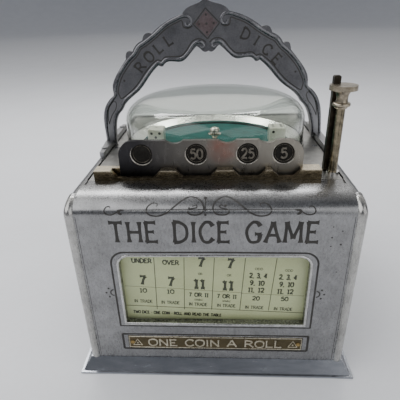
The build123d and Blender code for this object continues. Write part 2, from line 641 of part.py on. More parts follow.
with BuildPart() as rocker_shaft:
    rod((SHAFT_ENDS[0], SHAFT_Y, SHAFT_Z), SHAFT_ENDS[1] - SHAFT_ENDS[0], SHAFT_R, "X")
save(rocker_shaft.part, "rocker_shaft")

with BuildPart() as plunger_arm:
    rocker_arm(PLUNGER_X - 2, PLUNGER_X + 2,
               (SHAFT_Y - ARM_REACH * cos(swing), SHAFT_Z + ARM_REACH * sin(swing)), TIP_R)
save(plunger_arm.part, "plunger_arm")

with BuildPart() as lift_arm:
    rocker_arm(TABLE_X - 3, TABLE_X + 3,
               (SHAFT_Y + LIFT_REACH * cos(swing), SHAFT_Z - LIFT_REACH * sin(swing)), TIP_R)
save(lift_arm.part, "lift_arm")

fork_y = SHAFT_Y + SHUTTER_REACH * sin(swing)
fork_z = SHAFT_Z + SHUTTER_REACH * cos(swing)
with BuildPart() as shutter_arm:
    rocker_arm(SHUTTER_ARM_X - 2, SHUTTER_ARM_X + 2, (fork_y, fork_z), FORK_TIP_R)
save(shutter_arm.part, "shutter_arm")

bridge_low_y = TABLE_Y - BRIDGE_W / 2
bridge_high_y = TABLE_Y + BRIDGE_W / 2
with BuildPart() as mechanism_bridge:
    block((-BRIDGE_END, bridge_low_y, BRIDGE_Z), (BRIDGE_END, bridge_high_y, BRIDGE_Z + BRIDGE_T))
    for x in (-BRIDGE_END, BRIDGE_END - BRACKET_T):
        block((x, bridge_low_y, BRIDGE_Z), (x + BRACKET_T, bridge_high_y, deck_low))
    rod((TABLE_X, TABLE_Y, BRIDGE_Z - 1), BRIDGE_T + 2, STEM_R + 2 + RUN, mode=Mode.SUBTRACT)
save(mechanism_bridge.part, "mechanism_bridge")

with BuildPart() as stem_bushing:
    rod((TABLE_X, TABLE_Y, BRIDGE_Z), BRIDGE_T, STEM_R + 2)
    rod((TABLE_X, TABLE_Y, BRIDGE_Z + BRIDGE_T), 3, STEM_R + 5)
    rod((TABLE_X, TABLE_Y, BRIDGE_Z - 1), BRIDGE_T + 6, STEM_R + RUN, mode=Mode.SUBTRACT)
save(stem_bushing.part, "stem_bushing")

bracket_low = SHAFT_Z - BRACKET_R - 2
with BuildPart() as rocker_bracket_inner:
    block((INNER_BRACKET_X, SHAFT_Y - BRACKET_R, bracket_low),
          (INNER_BRACKET_X + BRACKET_T, bridge_low_y + 12, BRIDGE_Z))
    rod((INNER_BRACKET_X - 1, SHAFT_Y, SHAFT_Z), BRACKET_T + 2, SHAFT_R + RUN, "X", Mode.SUBTRACT)
save(rocker_bracket_inner.part, "rocker_bracket_inner")

with BuildPart() as rocker_bracket_outer:
    block((OUTER_BRACKET_X, SHAFT_Y - BRACKET_R, bracket_low),
          (OUTER_BRACKET_X + BRACKET_T, SHAFT_Y + BRACKET_R, deck_low))
    block((OUTER_BRACKET_X - 6, SHAFT_Y - BRACKET_R, deck_low - 3),
          (OUTER_BRACKET_X + BRACKET_T, SHAFT_Y + BRACKET_R, deck_low))
    rod((OUTER_BRACKET_X - 1, SHAFT_Y, SHAFT_Z), BRACKET_T + 2, SHAFT_R + RUN, "X", Mode.SUBTRACT)
save(rocker_bracket_outer.part, "rocker_bracket_outer")

# ======== lifting table =========================================================================
stem_low = SHAFT_Z - LIFT_REACH * sin(swing) + TIP_R + CLEAR
table_top = FELT_Z - FELT_T
table_low = table_top - TABLE_T
boss_low = table_low - TABLE_BOSS_H

with BuildPart() as table_stem:
    rod((TABLE_X, TABLE_Y, stem_low), table_low - CLEAR - stem_low, STEM_R)
save(table_stem.part, "table_stem")

with BuildPart() as stem_collar:
    rod((TABLE_X, TABLE_Y, 103), 3, 8)
    rod((TABLE_X, TABLE_Y, 102), 5, STEM_R + RUN, mode=Mode.SUBTRACT)
save(stem_collar.part, "stem_collar")

with BuildPart() as table_spring:
    spring_coil(TABLE_X, TABLE_Y, 106.1, BRIDGE_Z - 0.1, STEM_R + 2.2, 0.5, 6)
save(table_spring.part, "table_spring")

with BuildPart() as table_disc:
    rod((TABLE_X, TABLE_Y, table_low), TABLE_T, TABLE_R)
    rod((TABLE_X, TABLE_Y, boss_low), TABLE_BOSS_H, TABLE_BOSS_R)
    rod((TABLE_X, TABLE_Y, boss_low), TABLE_BOSS_H, STEM_R + RUN, mode=Mode.SUBTRACT)
    rod((TABLE_X, TABLE_Y, table_low), TABLE_T, 1.6 + RUN, mode=Mode.SUBTRACT)
save(table_disc.part, "table_disc")

with BuildPart() as table_felt:
    rod((TABLE_X, TABLE_Y, table_top), FELT_T, TABLE_R - 0.8)
    rod((TABLE_X, TABLE_Y, table_top), FELT_T, 1.6 + RUN, mode=Mode.SUBTRACT)
save(table_felt.part, "table_felt")

with BuildPart() as table_finial:
    with BuildSketch(Plane((TABLE_X, TABLE_Y, FELT_Z), x_dir=(1, 0, 0), z_dir=(0, -1, 0))):
        with BuildLine():
            Polyline((0, 15.5), (0, 0), (5.0, 0), (5.0, 1.2), (2.2, 2.4), (1.8, 4.0))
            Spline((1.8, 4.0), (3.6, 5.8), (6.6, 8.4))
            Polyline((6.6, 8.4), (6.6, 9.2), (3.0, 9.8), (2.6, 11.0), (5.0, 11.6))
            Spline((5.0, 11.6), (4.2, 14.2), (0, 15.5))
        make_face()
    revolve(axis=Axis((TABLE_X, TABLE_Y, 0), (0, 0, 1)))
    rod((TABLE_X, TABLE_Y, table_low), FELT_Z - table_low, 1.6)
save(table_finial.part, "table_finial")

for (x, y), name in zip(DIE_PLACES, ("die_left", "die_right")):
    with BuildPart() as die:
        block((x - DIE / 2, y - DIE / 2, FELT_Z), (x + DIE / 2, y + DIE / 2, FELT_Z + DIE))
        fillet(die.edges(), DIE_ROUND)
    save(die.part, name)

# ======== ring, dome, bezel =====================================================================
dome_in_r = DOME_R - DOME_T
dome_low = DECK_Z + GASKET_T
ring_in_r = TABLE_R + 0.6
ring_out_r = dome_in_r - 0.4
with BuildPart() as dish_ring:
    with BuildSketch(Plane((TABLE_X, TABLE_Y, DECK_Z), x_dir=(1, 0, 0), z_dir=(0, -1, 0))):
        with BuildLine():
            Polyline((ring_in_r, 0), (ring_out_r, 0), (ring_out_r, RING_H), (ring_out_r - 1, RING_H),
                     (ring_in_r, RING_T), (ring_in_r, 0))
        make_face()
    revolve(axis=Axis((TABLE_X, TABLE_Y, 0), (0, 0, 1)))
save(dish_ring.part, "dish_ring")

with BuildPart() as dome_gasket:
    rod((TABLE_X, TABLE_Y, DECK_Z), GASKET_T, DOME_R)
    rod((TABLE_X, TABLE_Y, DECK_Z), GASKET_T, dome_in_r, mode=Mode.SUBTRACT)
save(dome_gasket.part, "dome_gasket")


inner_top = DOME_TOP - DOME_T
outer_shoulder = DOME_TOP - CROWN_RISE
inner_shoulder = inner_top - CROWN_RISE
half_crown = DOME_CROWN_R / 2
crown_slope = 2 * CROWN_RISE / DOME_CROWN_R

with BuildPart() as glass_dome:
    with BuildSketch(Plane((TABLE_X, TABLE_Y, 0), x_dir=(1, 0, 0), z_dir=(0, -1, 0))):
        with BuildLine():
            # inside from the axis outwards, then the outside back: crown, shoulder, upright wall
            Line((0, DOME_TOP), (0, inner_top))
            Spline((0, inner_top), (half_crown, inner_top - CROWN_RISE / 4), (DOME_CROWN_R, inner_shoulder),
                   tangents=((1, 0), (1, -crown_slope)))
            EllipticalCenterArc((DOME_CROWN_R, DOME_WALL_TOP), dome_in_r - DOME_CROWN_R,
                                inner_shoulder - DOME_WALL_TOP, 90, arc_size=-90)
            Polyline((dome_in_r, DOME_WALL_TOP), (dome_in_r, dome_low), (DOME_R, dome_low),
                     (DOME_R, DOME_WALL_TOP))
            EllipticalCenterArc((DOME_CROWN_R, DOME_WALL_TOP), DOME_R - DOME_CROWN_R,
                                outer_shoulder - DOME_WALL_TOP, 0, arc_size=90)
            Spline((DOME_CROWN_R, outer_shoulder), (half_crown, DOME_TOP - CROWN_RISE / 4), (0, DOME_TOP),
                   tangents=((-1, crown_slope), (-1, 0)))
        make_face()
    revolve(axis=Axis((TABLE_X, TABLE_Y, 0), (0, 0, 1)))
save(glass_dome.part, "glass_dome")

with BuildPart() as dome_bezel:
    rod((TABLE_X, TABLE_Y, DECK_Z), BEZEL_H, DOME_R + 0.2 + BEZEL_T)
    rod((TABLE_X, TABLE_Y, DECK_Z), BEZEL_H, DOME_R + 0.2, mode=Mode.SUBTRACT)
save(dome_bezel.part, "dome_bezel")

# ======== handle arch ===========================================================================
foot_low = wall_top
foot_top = foot_low + FOOT_T
foot_x = (inner_x + 0.3, half_w)
foot_y = (TABLE_Y - FOOT_LEN / 2, TABLE_Y + FOOT_LEN / 2)
arch_screws_at = [(side * (foot_x[0] + 2.6), y)
                  for side in (-1, 1) for y in (foot_y[0] + 12, foot_y[1] - 12)]


def arch_point(x, rise):
    """A point of the handle's outline, which leans a little: x from the middle, rise above the deck."""
    return (x - ARCH_LEAN * rise, DECK_Z + rise * (1 + ARCH_TILT * x))


# runs of the right half of the outline, each starting where the last one ended
arch_runs = (
    ((ARCH_SPREAD, 1.2), (106.6, 18), (103.2, 37.5), (95.2, 48)),
    ((95.2, 48), (92.1, 51.2), (92, 55.5), (85.7, 70), (75.3, 82.6)),
    ((75.3, 82.6), (72.2, 89.4), (68.3, 88.6)),
    ((68.3, 88.6), (64.2, 94.4), (58.2, 97.8)),
    ((58.2, 97.8), (54.4, 103.4), (49, 103)),
    ((49, 103), (37, 111.1), (20.5, 117.2)),
    ((20.5, 117.2), (15.2, 121.9), (7.6, 124.4), (0, ARCH_RISE)),
    ((0, ARCH_RISE), (0, 85.8)),
    ((0, 85.8), (4.5, 85.4), (7.2, 87.8), (10.5, 90.2)),
    ((10.5, 90.2), (17.5, 83.3), (24.5, 78), (38, 78.2), (42.4, 74.6)),
    ((42.4, 74.6), (44.6, 74.6), (46.5, 75.6)),
    ((46.5, 75.6), (55, 67.7), (67.2, 53.9), (80, 44), (86, 36)),
    ((86, 36), (92, 29), (96, 16), (97.5, 1.2)),
    ((97.5, 1.2), (ARCH_SPREAD, 1.2)),
)
yaw_cos = cos(radians(ARCH_YAW))
yaw_sin = sin(radians(ARCH_YAW))
arch_plane = Plane((TABLE_X, TABLE_Y, 0), x_dir=(yaw_cos, yaw_sin, 0), z_dir=(yaw_sin, -yaw_cos, 0))

with BuildPart() as handle_arch:
    for side in (1, -1):
        with BuildSketch(arch_plane):
            with BuildLine():
                for run in arch_runs:
                    points = [arch_point(side * x, rise) for x, rise in run]
                    if len(points) == 2:
                        Line(*points)
                    else:
                        Spline(*points)
            make_face()
        extrude(amount=ARCH_T / 2, both=True)
    for side in (-1, 1):
        with BuildSketch(Plane.XY.offset(foot_low)):
            with BuildLine():
                Polyline((side * foot_x[0], foot_y[0]), (side * (foot_x[1] - FOOT_TAPER), foot_y[0]),
                         (side * foot_x[1], TABLE_Y - FOOT_FULL), (side * foot_x[1], TABLE_Y + FOOT_FULL),
                         (side * (foot_x[1] - FOOT_TAPER), foot_y[1]), (side * foot_x[0], foot_y[1]),
                         (side * foot_x[0], foot_y[0]))
            make_face()
        extrude(amount=FOOT_T)
    for x, y in arch_screws_at:
        rod((x, y, foot_low - 1), FOOT_T + 2, 1.5 + RUN, mode=Mode.SUBTRACT)
save(handle_arch.part, "handle_arch")

with BuildPart() as arch_screws:
    for x, y in arch_screws_at:
        rod((x, y, foot_low), FOOT_T, 1.5)
        rod((x, y, foot_top), 1.0, 2.5)
save(arch_screws.part, "arch_screws")

# ======== coin shutter, its guides, chute, tray =================================================
shutter_top = deck_low - SHUTTER_DROP
shutter_low = shutter_top - SHUTTER_T
shutter_travel = 2 * SHUTTER_REACH * sin(swing)
shutter_left = slots[0][0] - 5.2
shutter_right = slots[-1][1] + 4.4
fork_gap = FORK_TIP_R + 0.9
with BuildPart() as coin_shutter:
    block((shutter_left, bar_front + 1, shutter_low), (shutter_right, SHUTTER_REAR, shutter_top))
    block((SHUTTER_ARM_X - 6, SHUTTER_REAR - 1, shutter_low),
          (SHUTTER_ARM_X + 6, fork_y + fork_gap + 2.5, shutter_top))
    for y in (fork_y - fork_gap - 2.5, fork_y + fork_gap):
        block((SHUTTER_ARM_X - 4, y, fork_z - 1.6), (SHUTTER_ARM_X + 4, y + 2.5, shutter_top))
    for x0, x1 in slots:
        block((x0, slot_front + shutter_travel, shutter_low - 1),
              (x1, slot_back + shutter_travel, shutter_top + 1), Mode.SUBTRACT)
save(coin_shutter.part, "coin_shutter")

rail_low = shutter_low - CLEAR - 2.3
with BuildPart() as shutter_guides:
    for edge, out in ((shutter_left, -1), (shutter_right, 1)):
        x0, x1 = sorted((edge + out * CLEAR, edge + out * (CLEAR + 3.5)))
        block((x0, bar_front + 0.6, rail_low), (x1, SHUTTER_REAR + 8, deck_low))
        x0, x1 = sorted((edge - out * 2, edge + out * (CLEAR + 3.5)))
        block((x0, bar_front + 0.6, rail_low), (x1, SHUTTER_REAR + 8, shutter_low - CLEAR))
save(shutter_guides.part, "shutter_guides")

chute_top = rail_low - CLEAR
chute_x = (slots[0][0] - 3, slots[-1][1] + 3)
chute_y = (slot_front - 4, slot_back + 4)
strap_t = 1.5
with BuildPart() as coin_chute:
    block((chute_x[0], chute_y[0], CHUTE_LOW), (chute_x[1], chute_y[1], chute_top))
    block((chute_x[0] + CHUTE_WALL, chute_y[0] + CHUTE_WALL, CHUTE_LOW - 1),
          (chute_x[1] - CHUTE_WALL, chute_y[1] - CHUTE_WALL, chute_top + 1), Mode.SUBTRACT)
    for edge, wall, out in ((shutter_left, chute_x[0], -1), (shutter_right, chute_x[1], 1)):
        strap = edge + out * (2 * CLEAR + 3.5)
        x0, x1 = sorted((strap, strap + out * strap_t))
        block((x0, chute_y[0], chute_top - 22), (x1, chute_y[1], deck_low))
        x0, x1 = sorted((wall, strap + out * strap_t))
        block((x0, chute_y[0], chute_top - 22), (x1, chute_y[1], chute_top - 22 + strap_t))
save(coin_chute.part, "coin_chute")

with BuildPart() as cash_tray:
    block((-TRAY_W / 2, TRAY_FRONT, TRAY_Z), (TRAY_W / 2, TRAY_BACK, TRAY_Z + TRAY_H))
    block((TRAY_WALL - TRAY_W / 2, TRAY_FRONT + TRAY_WALL, TRAY_Z + TRAY_WALL),
          (TRAY_W / 2 - TRAY_WALL, TRAY_BACK - TRAY_WALL, TRAY_Z + TRAY_H + 1), Mode.SUBTRACT)
save(cash_tray.part, "cash_tray")

with BuildPart() as tray_runners:
    for side in (-1, 1):
        low_x, high_x = sorted((side * 48, side * 56))
        block((low_x, TRAY_FRONT, base_top), (high_x, rear_inner - 8, TRAY_Z))
save(tray_runners.part, "tray_runners")
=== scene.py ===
import bmesh
import bpy
import numpy as np
from bpy.props import FloatProperty, FloatVectorProperty, PointerProperty, StringProperty
from mathutils import Matrix, Vector


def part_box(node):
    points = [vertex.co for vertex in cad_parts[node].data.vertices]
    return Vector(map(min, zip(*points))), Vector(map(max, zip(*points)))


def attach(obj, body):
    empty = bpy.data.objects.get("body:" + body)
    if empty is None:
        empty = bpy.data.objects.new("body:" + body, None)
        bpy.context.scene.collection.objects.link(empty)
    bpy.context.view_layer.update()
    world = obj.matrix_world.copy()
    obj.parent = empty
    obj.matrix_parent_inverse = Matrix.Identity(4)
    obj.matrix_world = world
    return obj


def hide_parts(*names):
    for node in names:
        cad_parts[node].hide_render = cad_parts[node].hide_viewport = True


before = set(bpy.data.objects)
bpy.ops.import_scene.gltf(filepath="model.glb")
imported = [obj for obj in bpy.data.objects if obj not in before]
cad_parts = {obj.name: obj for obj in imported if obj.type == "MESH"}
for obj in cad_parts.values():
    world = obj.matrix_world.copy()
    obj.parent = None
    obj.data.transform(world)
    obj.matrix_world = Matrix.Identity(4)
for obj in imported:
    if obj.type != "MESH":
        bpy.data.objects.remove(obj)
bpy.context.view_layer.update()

bl_info = {
    "name": "Countertop dice game",
    "version": (1, 0, 0),
    "blender": (4, 5, 0),
    "location": "3D View > Sidebar > Dice game",
    "description": "Dresses the packed dice game: castings, engraving, pay card, handle, dice and dome",
    "category": "Object",
}

MM = 0.001                # every shape below is worked out in millimetres
FRONT = -122.0            # front face of the cabinet
NOSE_Y, NOSE_Z = -95.0, 152.0   # centre of the ellipse that the top of the front follows
NOSE_DEPTH, NOSE_HEIGHT = 27.0, 12.0
DECK = 163.0
ARCH_LEAN, ARCH_TILT, ARCH_YAW = 0.06, 0.0003, np.radians(5.0)
ARCH_Y, ARCH_HALF_T = 16.0, 3.0
TABLE = (0.0, 16.0)
MOULDING_X = 103.75               # centre line of the moulding up each corner
MOULDING_FROM_NOSE = 25.25        # how far that line stands in front of the nose's centre
MOULDING_RISE = 8.25              # how far it climbs over the nose
MOULDING_CROWN_R = 3.82           # a little over the moulding's own radius
FRAME_X, FRAME_TOP, FRAME_LOW, FRAME_R = 78.0, 120.8, 47.6, 10.5     # blackened line round the window
LIP_X, LIP_TOP, LIP_LOW, LIP_R = 73.3, 117.8, 50.2, 9.6              # bright lip inside it
PLATE_LINE_X, PLATE_LINE_TOP, PLATE_LINE_LOW = 77.6, 38.3, 21.7      # lines round the brass plate
COIN_Z = 182.0                    # middle of the coin head's round windows
CAMERA_AT = (5.526, -359.417, 282.664)
CAMERA_TURN = (-3.401, 26.401, -1.7236)     # degrees: to the left, down, and about its own line of sight
CAMERA_LENS, CAMERA_SENSOR = 34.576, 36.0


def linear(text):
    """An sRGB hex colour as linear RGBA: the piecewise sRGB curve on each channel."""
    v = np.array([int(text[k:k + 2], 16) for k in (1, 3, 5)]) / 255.0
    v = np.where(v <= 0.04045, v / 12.92, ((v + 0.055) / 1.055) ** 2.4)
    return (float(v[0]), float(v[1]), float(v[2]), 1.0)


# ======== shapes ================================================================================
def smooth(points, per=8, closed=False):
    """A Catmull-Rom curve through the points: on each span, a cubic whose slope at a point is half
    the step between that point's neighbours."""
    p = np.asarray(points, float)
    if closed:
        p = np.vstack([p[-1:], p, p[:2]])
    else:
        p = np.vstack([2 * p[:1] - p[1:2], p, 2 * p[-1:] - p[-2:-1]])
    t = np.linspace(0, 1, per, endpoint=False)[None, :, None]
    a, b, c, d = (p[k:len(p) - 3 + k][:, None, :] for k in range(4))
    q = 0.5 * (2 * b + (c - a) * t + (2 * a - 5 * b + 4 * c - d) * t ** 2 + (3 * b - a - 3 * c + d) * t ** 3)
    q = q.reshape(-1, p.shape[1])
    return q if closed else np.vstack([q, p[-2:-1]])


def circle(x, y, radius, start=0.0, end=360.0, n=25):
    """Points of an arc: centre plus radius times cosine and sine of the angle."""
    a = np.radians(np.linspace(start, end, n))
    return np.stack([x + radius * np.cos(a), y + radius * np.sin(a)], 1)


def on_face(y=FRONT):
    """An upright plane that faces the player: u runs right and v up."""
    def place(uv):
        uv = np.asarray(uv, float)
        at = np.stack([uv[:, 0], np.full(len(uv), y), uv[:, 1]], 1)
        return at, np.tile([0.0, -1.0, 0.0], (len(uv), 1))
    return place


def on_nose(uv):
    """The rounded top of the front: u runs right, and v is the angle round a quarter ellipse, with the
    normal along the ellipse's gradient. Below 0 degrees it carries on down the flat face."""
    uv = np.asarray(uv, float)
    a = np.radians(np.clip(uv[:, 1], 0, 90))
    drop = np.radians(np.minimum(uv[:, 1], 0)) * NOSE_HEIGHT
    at = np.stack([uv[:, 0], NOSE_Y - NOSE_DEPTH * np.cos(a), NOSE_Z + NOSE_HEIGHT * np.sin(a) + drop], 1)
    n = np.stack([0 * a, -np.cos(a) / NOSE_DEPTH, np.sin(a) / NOSE_HEIGHT], 1)
    return at, n / np.linalg.norm(n, axis=1, keepdims=True)


def on_arch(side):
    """One face of the handle's plate, side 1 in front and -1 behind: u from the middle and v above the
    deck, leaned sideways by a share of v, tilted by u times v, and turned about the vertical."""
    def place(uv):
        uv = np.asarray(uv, float)
        u = uv[:, 0] - ARCH_LEAN * uv[:, 1]
        z = DECK + uv[:, 1] * (1 + ARCH_TILT * uv[:, 0])
        c, s = np.cos(ARCH_YAW), np.sin(ARCH_YAW)
        n = np.array([s, -c, 0.0]) * side
        at = np.stack([u * c, ARCH_Y + u * s, z], 1) + n * ARCH_HALF_T
        return at, np.tile(n, (len(uv), 1))
    return place


def ribbon(uv, surface, width, lift=0.12, sunk=0.3, taper=0.0, flare=0.0, closed=False, square=False):
    """A strip laid on a surface: a low profile of seven points carried along a line. Its width is
    width x (1 + flare x distance from the middle to the 4th power), less taper near the ends."""
    at, up = surface(uv)
    along = np.gradient(at, axis=0)
    if closed:
        along = np.roll(at, -1, 0) - np.roll(at, 1, 0)
    along /= np.maximum(np.linalg.norm(along, axis=1, keepdims=True), 1e-9)
    across = np.cross(along, up)
    across /= np.maximum(np.linalg.norm(across, axis=1, keepdims=True), 1e-9)
    s = np.linspace(-1, 1, len(at))
    w = width * (1 + flare * s ** 4) * (1 - taper * np.abs(s) ** 3)
    if square:
        side = [-0.5, -0.5, -0.44, 0.0, 0.44, 0.5, 0.5]
        rise = [-sunk, 0.6 * lift, lift, lift, lift, 0.6 * lift, -sunk]
    else:
        side = [-0.5, -0.5, -0.3, 0.0, 0.3, 0.5, 0.5]
        rise = [-sunk, 0.0, 0.75 * lift, lift, 0.75 * lift, 0.0, -sunk]
    side, rise = np.array(side), np.array(rise)
    v = at[:, None] + across[:, None] * (w[:, None] * side)[..., None] + up[:, None] * rise[None, :, None]
    return tube(v, closed)


def tube(v, closed=False):
    """Faces for rings of points: a quad between each pair of neighbours on each pair of rings, and a
    polygon over each end unless the rings close on themselves."""
    n, m = v.shape[:2]
    i, j = np.meshgrid(np.arange(n if closed else n - 1), np.arange(m), indexing="ij")
    k, l = (i + 1) % n, (j + 1) % m
    quads = np.stack([i * m + j, i * m + l, k * m + l, k * m + j], -1).reshape(-1, 4).tolist()
    if not closed:
        quads += [list(range(m))[::-1], list(range((n - 1) * m, n * m))]
    return v.reshape(-1, 3), quads


def dot(u, v, surface, radius, lift=0.15, sunk=0.3, n=20):
    """A low round button on a surface: circles whose radius shrinks as the cosine, and whose height
    grows as the sine, closed by its middle."""
    a = np.linspace(0, 2 * np.pi, n, endpoint=False)
    at, up = surface([(u, v)])
    at, up = at[0], up[0]
    x = np.cross([0.0, 0.0, 1.0], up)
    x = x / np.linalg.norm(x) if np.linalg.norm(x) > 0.1 else np.array([1.0, 0.0, 0.0])
    y = np.cross(up, x)
    rings = [(radius, -sunk)] + [(radius * np.cos(t), lift * np.sin(t)) for t in np.radians([0, 30, 60, 80])]
    v = np.array([at + r * (np.cos(a)[:, None] * x + np.sin(a)[:, None] * y) + h * up for r, h in rings])
    return tube(v)


def plate(uv, surface, lift, sunk=0.2):
    """A flat raised field: its outline at two heights, closed above and below."""
    at, up = surface(uv)
    return tube(np.array([at - up * sunk, at + up * lift]))


def build(name, parts, finish, body, flat=False):
    """One mesh object from all the parts, in metres, with outward faces, riding on a body."""
    verts, faces, base = [], [], 0
    for v, f in parts:
        verts.append(v)
        faces += [[k + base for k in one] for one in f]
        base += len(v)
    mesh = bpy.data.meshes.new(name)
    mesh.from_pydata((np.vstack(verts) * MM).tolist(), [], faces)
    work = bmesh.new()
    work.from_mesh(mesh)
    bmesh.ops.recalc_face_normals(work, faces=work.faces)
    work.to_mesh(mesh)
    work.free()
    mesh.polygons.foreach_set("use_smooth", np.full(len(mesh.polygons), not flat))
    mesh.materials.append(finish)
    piece = bpy.data.objects.new(name, mesh)
    bpy.context.scene.collection.objects.link(piece)
    if not flat:
        mesh.set_sharp_from_angle(angle=np.radians(40))
    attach(piece, body)
    return piece


# ======== letters ===============================================================================
# Each letter is a list of strokes in a box one unit high; "~" marks a curved stroke.
GLYPHS = {
    "A": (.78, [((0, 0), (.39, 1)), ((.39, 1), (.78, 0)), ((.14, .36), (.64, .36))]),
    "B": (.7, [((.06, 0), (.06, 1)), "~", ((0, .98), (.4, .97), (.58, .76), (.4, .52), (.06, .52)),
               "~", ((.06, .52), (.44, .5), (.66, .26), (.42, .03), (0, .02))]),
    "C": (.74, ["~", ((.72, .8), (.56, .97), (.3, .97), (.06, .7), (.03, .4), (.2, .06), (.5, .02),
                      (.74, .2))]),
    "D": (.76, [((.06, 0), (.06, 1)), "~", ((0, 1), (.34, .98), (.66, .8), (.74, .5), (.66, .2),
                                            (.34, .02), (0, 0))]),
    "E": (.66, [((.07, 0), (.07, 1)), ((0, .97), (.6, .97)), ((.07, .52), (.48, .52)),
                ((0, .03), (.66, .03))]),
    "F": (.62, [((.07, 0), (.07, 1)), ((0, .97), (.62, .97)), ((.07, .52), (.48, .52))]),
    "G": (.8, ["~", ((.74, .8), (.58, .97), (.32, .97), (.06, .7), (.03, .4), (.2, .06), (.5, .02),
                     (.7, .12), (.74, .42)),
               ((.46, .42), (.82, .42))]),
    "H": (.76, [((.06, 0), (.06, 1)), ((.7, 0), (.7, 1)), ((.06, .5), (.7, .5))]),
    "I": (.2, [((.1, 0), (.1, 1))]),
    "K": (.74, [((.06, 0), (.06, 1)), ((.68, 1), (.08, .44)), ((.26, .58), (.74, 0))]),
    "L": (.6, [((.06, 0), (.06, 1)), ((0, .03), (.6, .03))]),
    "M": (.94, [((.04, 0), (.1, 1)), ((.1, 1), (.47, .2)), ((.47, .2), (.84, 1)), ((.84, 1), (.9, 0))]),
    "N": (.78, [((.06, 0), (.06, 1)), ((.06, 1), (.72, 0)), ((.72, 0), (.72, 1))]),
    "O": (.8, ["~", ((.4, 1), (.1, .84), (.02, .5), (.1, .16), (.4, 0), (.7, .16), (.78, .5), (.7, .84),
                     (.4, 1))]),
    "P": (.66, [((.06, 0), (.06, 1)), "~", ((0, .98), (.42, .97), (.64, .76), (.42, .5), (.06, .48))]),
    "R": (.74, [((.06, 0), (.06, 1)), "~", ((0, .98), (.42, .97), (.64, .76), (.42, .5), (.06, .48)),
                ((.34, .5), (.76, 0))]),
    "S": (.62, ["~", ((.58, .82), (.4, .98), (.14, .94), (.06, .72), (.3, .54), (.56, .36), (.56, .1),
                      (.3, .01), (.03, .16))]),
    "T": (.76, [((0, .97), (.76, .97)), ((.38, 0), (.38, 1))]),
    "U": (.76, ["~", ((.06, 1), (.06, .4), (.16, .06), (.38, 0), (.6, .06), (.7, .4), (.7, 1))]),
    "V": (.76, [((0, 1), (.38, 0)), ((.38, 0), (.76, 1))]),
    "W": (1.0, [((0, 1), (.25, 0)), ((.25, 0), (.5, .8)), ((.5, .8), (.75, 0)), ((.75, 0), (1, 1))]),
    "Y": (.76, [((0, 1), (.38, .48)), ((.76, 1), (.38, .48)), ((.38, .48), (.38, 0))]),
    "0": (.6, ["~", ((.3, 1), (.06, .8), (.02, .5), (.06, .2), (.3, 0), (.54, .2), (.58, .5), (.54, .8),
                     (.3, 1))]),
    "1": (.34, [((.2, 0), (.2, 1)), ((.2, 1), (.02, .8)), ((.04, .02), (.36, .02))]),
    "2": (.6, ["~", ((.05, .76), (.16, .96), (.42, .97), (.55, .74), (.4, .42), (.03, .03)),
               ((.03, .03), (.6, .03))]),
    "3": (.58, ["~", ((.05, .85), (.28, .99), (.5, .85), (.46, .6), (.24, .53), (.5, .44), (.56, .2),
                      (.32, .01), (.03, .14))]),
    "4": (.62, [((.46, 0), (.46, 1)), ((.46, 1), (.02, .3)), ((.02, .3), (.62, .3))]),
    "5": (.58, [((.12, .97), (.54, .97)), ((.12, .97), (.08, .56)), "~",
                ((.08, .56), (.32, .64), (.54, .48), (.54, .18), (.3, .01), (.03, .12))]),
    "6": (.58, ["~", ((.5, .94), (.2, .8), (.04, .4), (.14, .06), (.4, .02), (.55, .24), (.4, .5),
                      (.16, .46), (.05, .3))]),
    "7": (.58, [((.02, .96), (.58, .96)), "~", ((.56, .96), (.36, .6), (.22, 0))]),
    "8": (.58, ["~", ((.3, .54), (.08, .76), (.3, .99), (.5, .76), (.3, .54), (.04, .26), (.3, .01),
                      (.56, .26), (.3, .54))]),
    "9": (.58, ["~", ((.08, .06), (.38, .2), (.54, .6), (.44, .94), (.18, .98), (.03, .76), (.18, .5),
                      (.42, .54), (.53, .7))]),
    ".": (.16, [((.08, 0), (.08, .1))]),
    ",": (.18, [((.1, .08), (.03, -.14))]),
    "-": (.34, [((.02, .48), (.32, .48))]),
    " ": (.42, []),
}


def text_width(text, gap):
    """The width of a line in units of its height."""
    return sum(GLYPHS[c][0] for c in text) + gap * (len(text) - 1)


def write(text, surface, middle, low, height, stroke, width=None, gap=0.16, flare=0.5, lift=0.1, sunk=0.25,
          turn=0.0, slant=0.0):
    """A line of letters about a middle point: each stroke is a ribbon that widens at its ends. The line
    is stretched to a width, and turned about its own middle by an angle in degrees."""
    total = text_width(text, gap)
    stretch = (width / (total * height)) if width else 1.0
    c, s = np.cos(np.radians(turn)), np.sin(np.radians(turn))
    parts, x = [], -total / 2
    for letter in text:
        curved = False
        for stroke_points in GLYPHS[letter][1]:
            if isinstance(stroke_points, str):
                curved = True
                continue
            p = np.array(stroke_points, float)
            p = smooth(p, 5) if curved else p[0] + (p[1] - p[0]) * np.linspace(0, 1, 7)[:, None]
            curved = False
            p = (p + [x, -0.5]) * [stretch * height, height]
            p[:, 0] += slant * p[:, 1]
            p = np.stack([p[:, 0] * c - p[:, 1] * s, p[:, 0] * s + p[:, 1] * c], 1)
            p += [middle, low + height / 2]
            rise = lift * (1 + 0.11 * (len(parts) % 7))      # crossing strokes never share a plane
            parts.append(ribbon(p, surface, stroke, lift=rise, sunk=sunk, flare=flare, square=True))
        x += GLYPHS[letter][0] + gap
    return parts


# ======== materials =============================================================================
def node(tree, kind, links=None, **settings):
    """Adds one shader node with its settings, and sets or links each named input."""
    made = tree.nodes.new("ShaderNode" + kind)
    for key, value in settings.items():
        setattr(made, key, value)
    for key, value in (links or {}).items():
        if isinstance(value, bpy.types.NodeSocket):
            tree.links.new(value, made.inputs[key])
        else:
            made.inputs[key].default_value = value
    return made


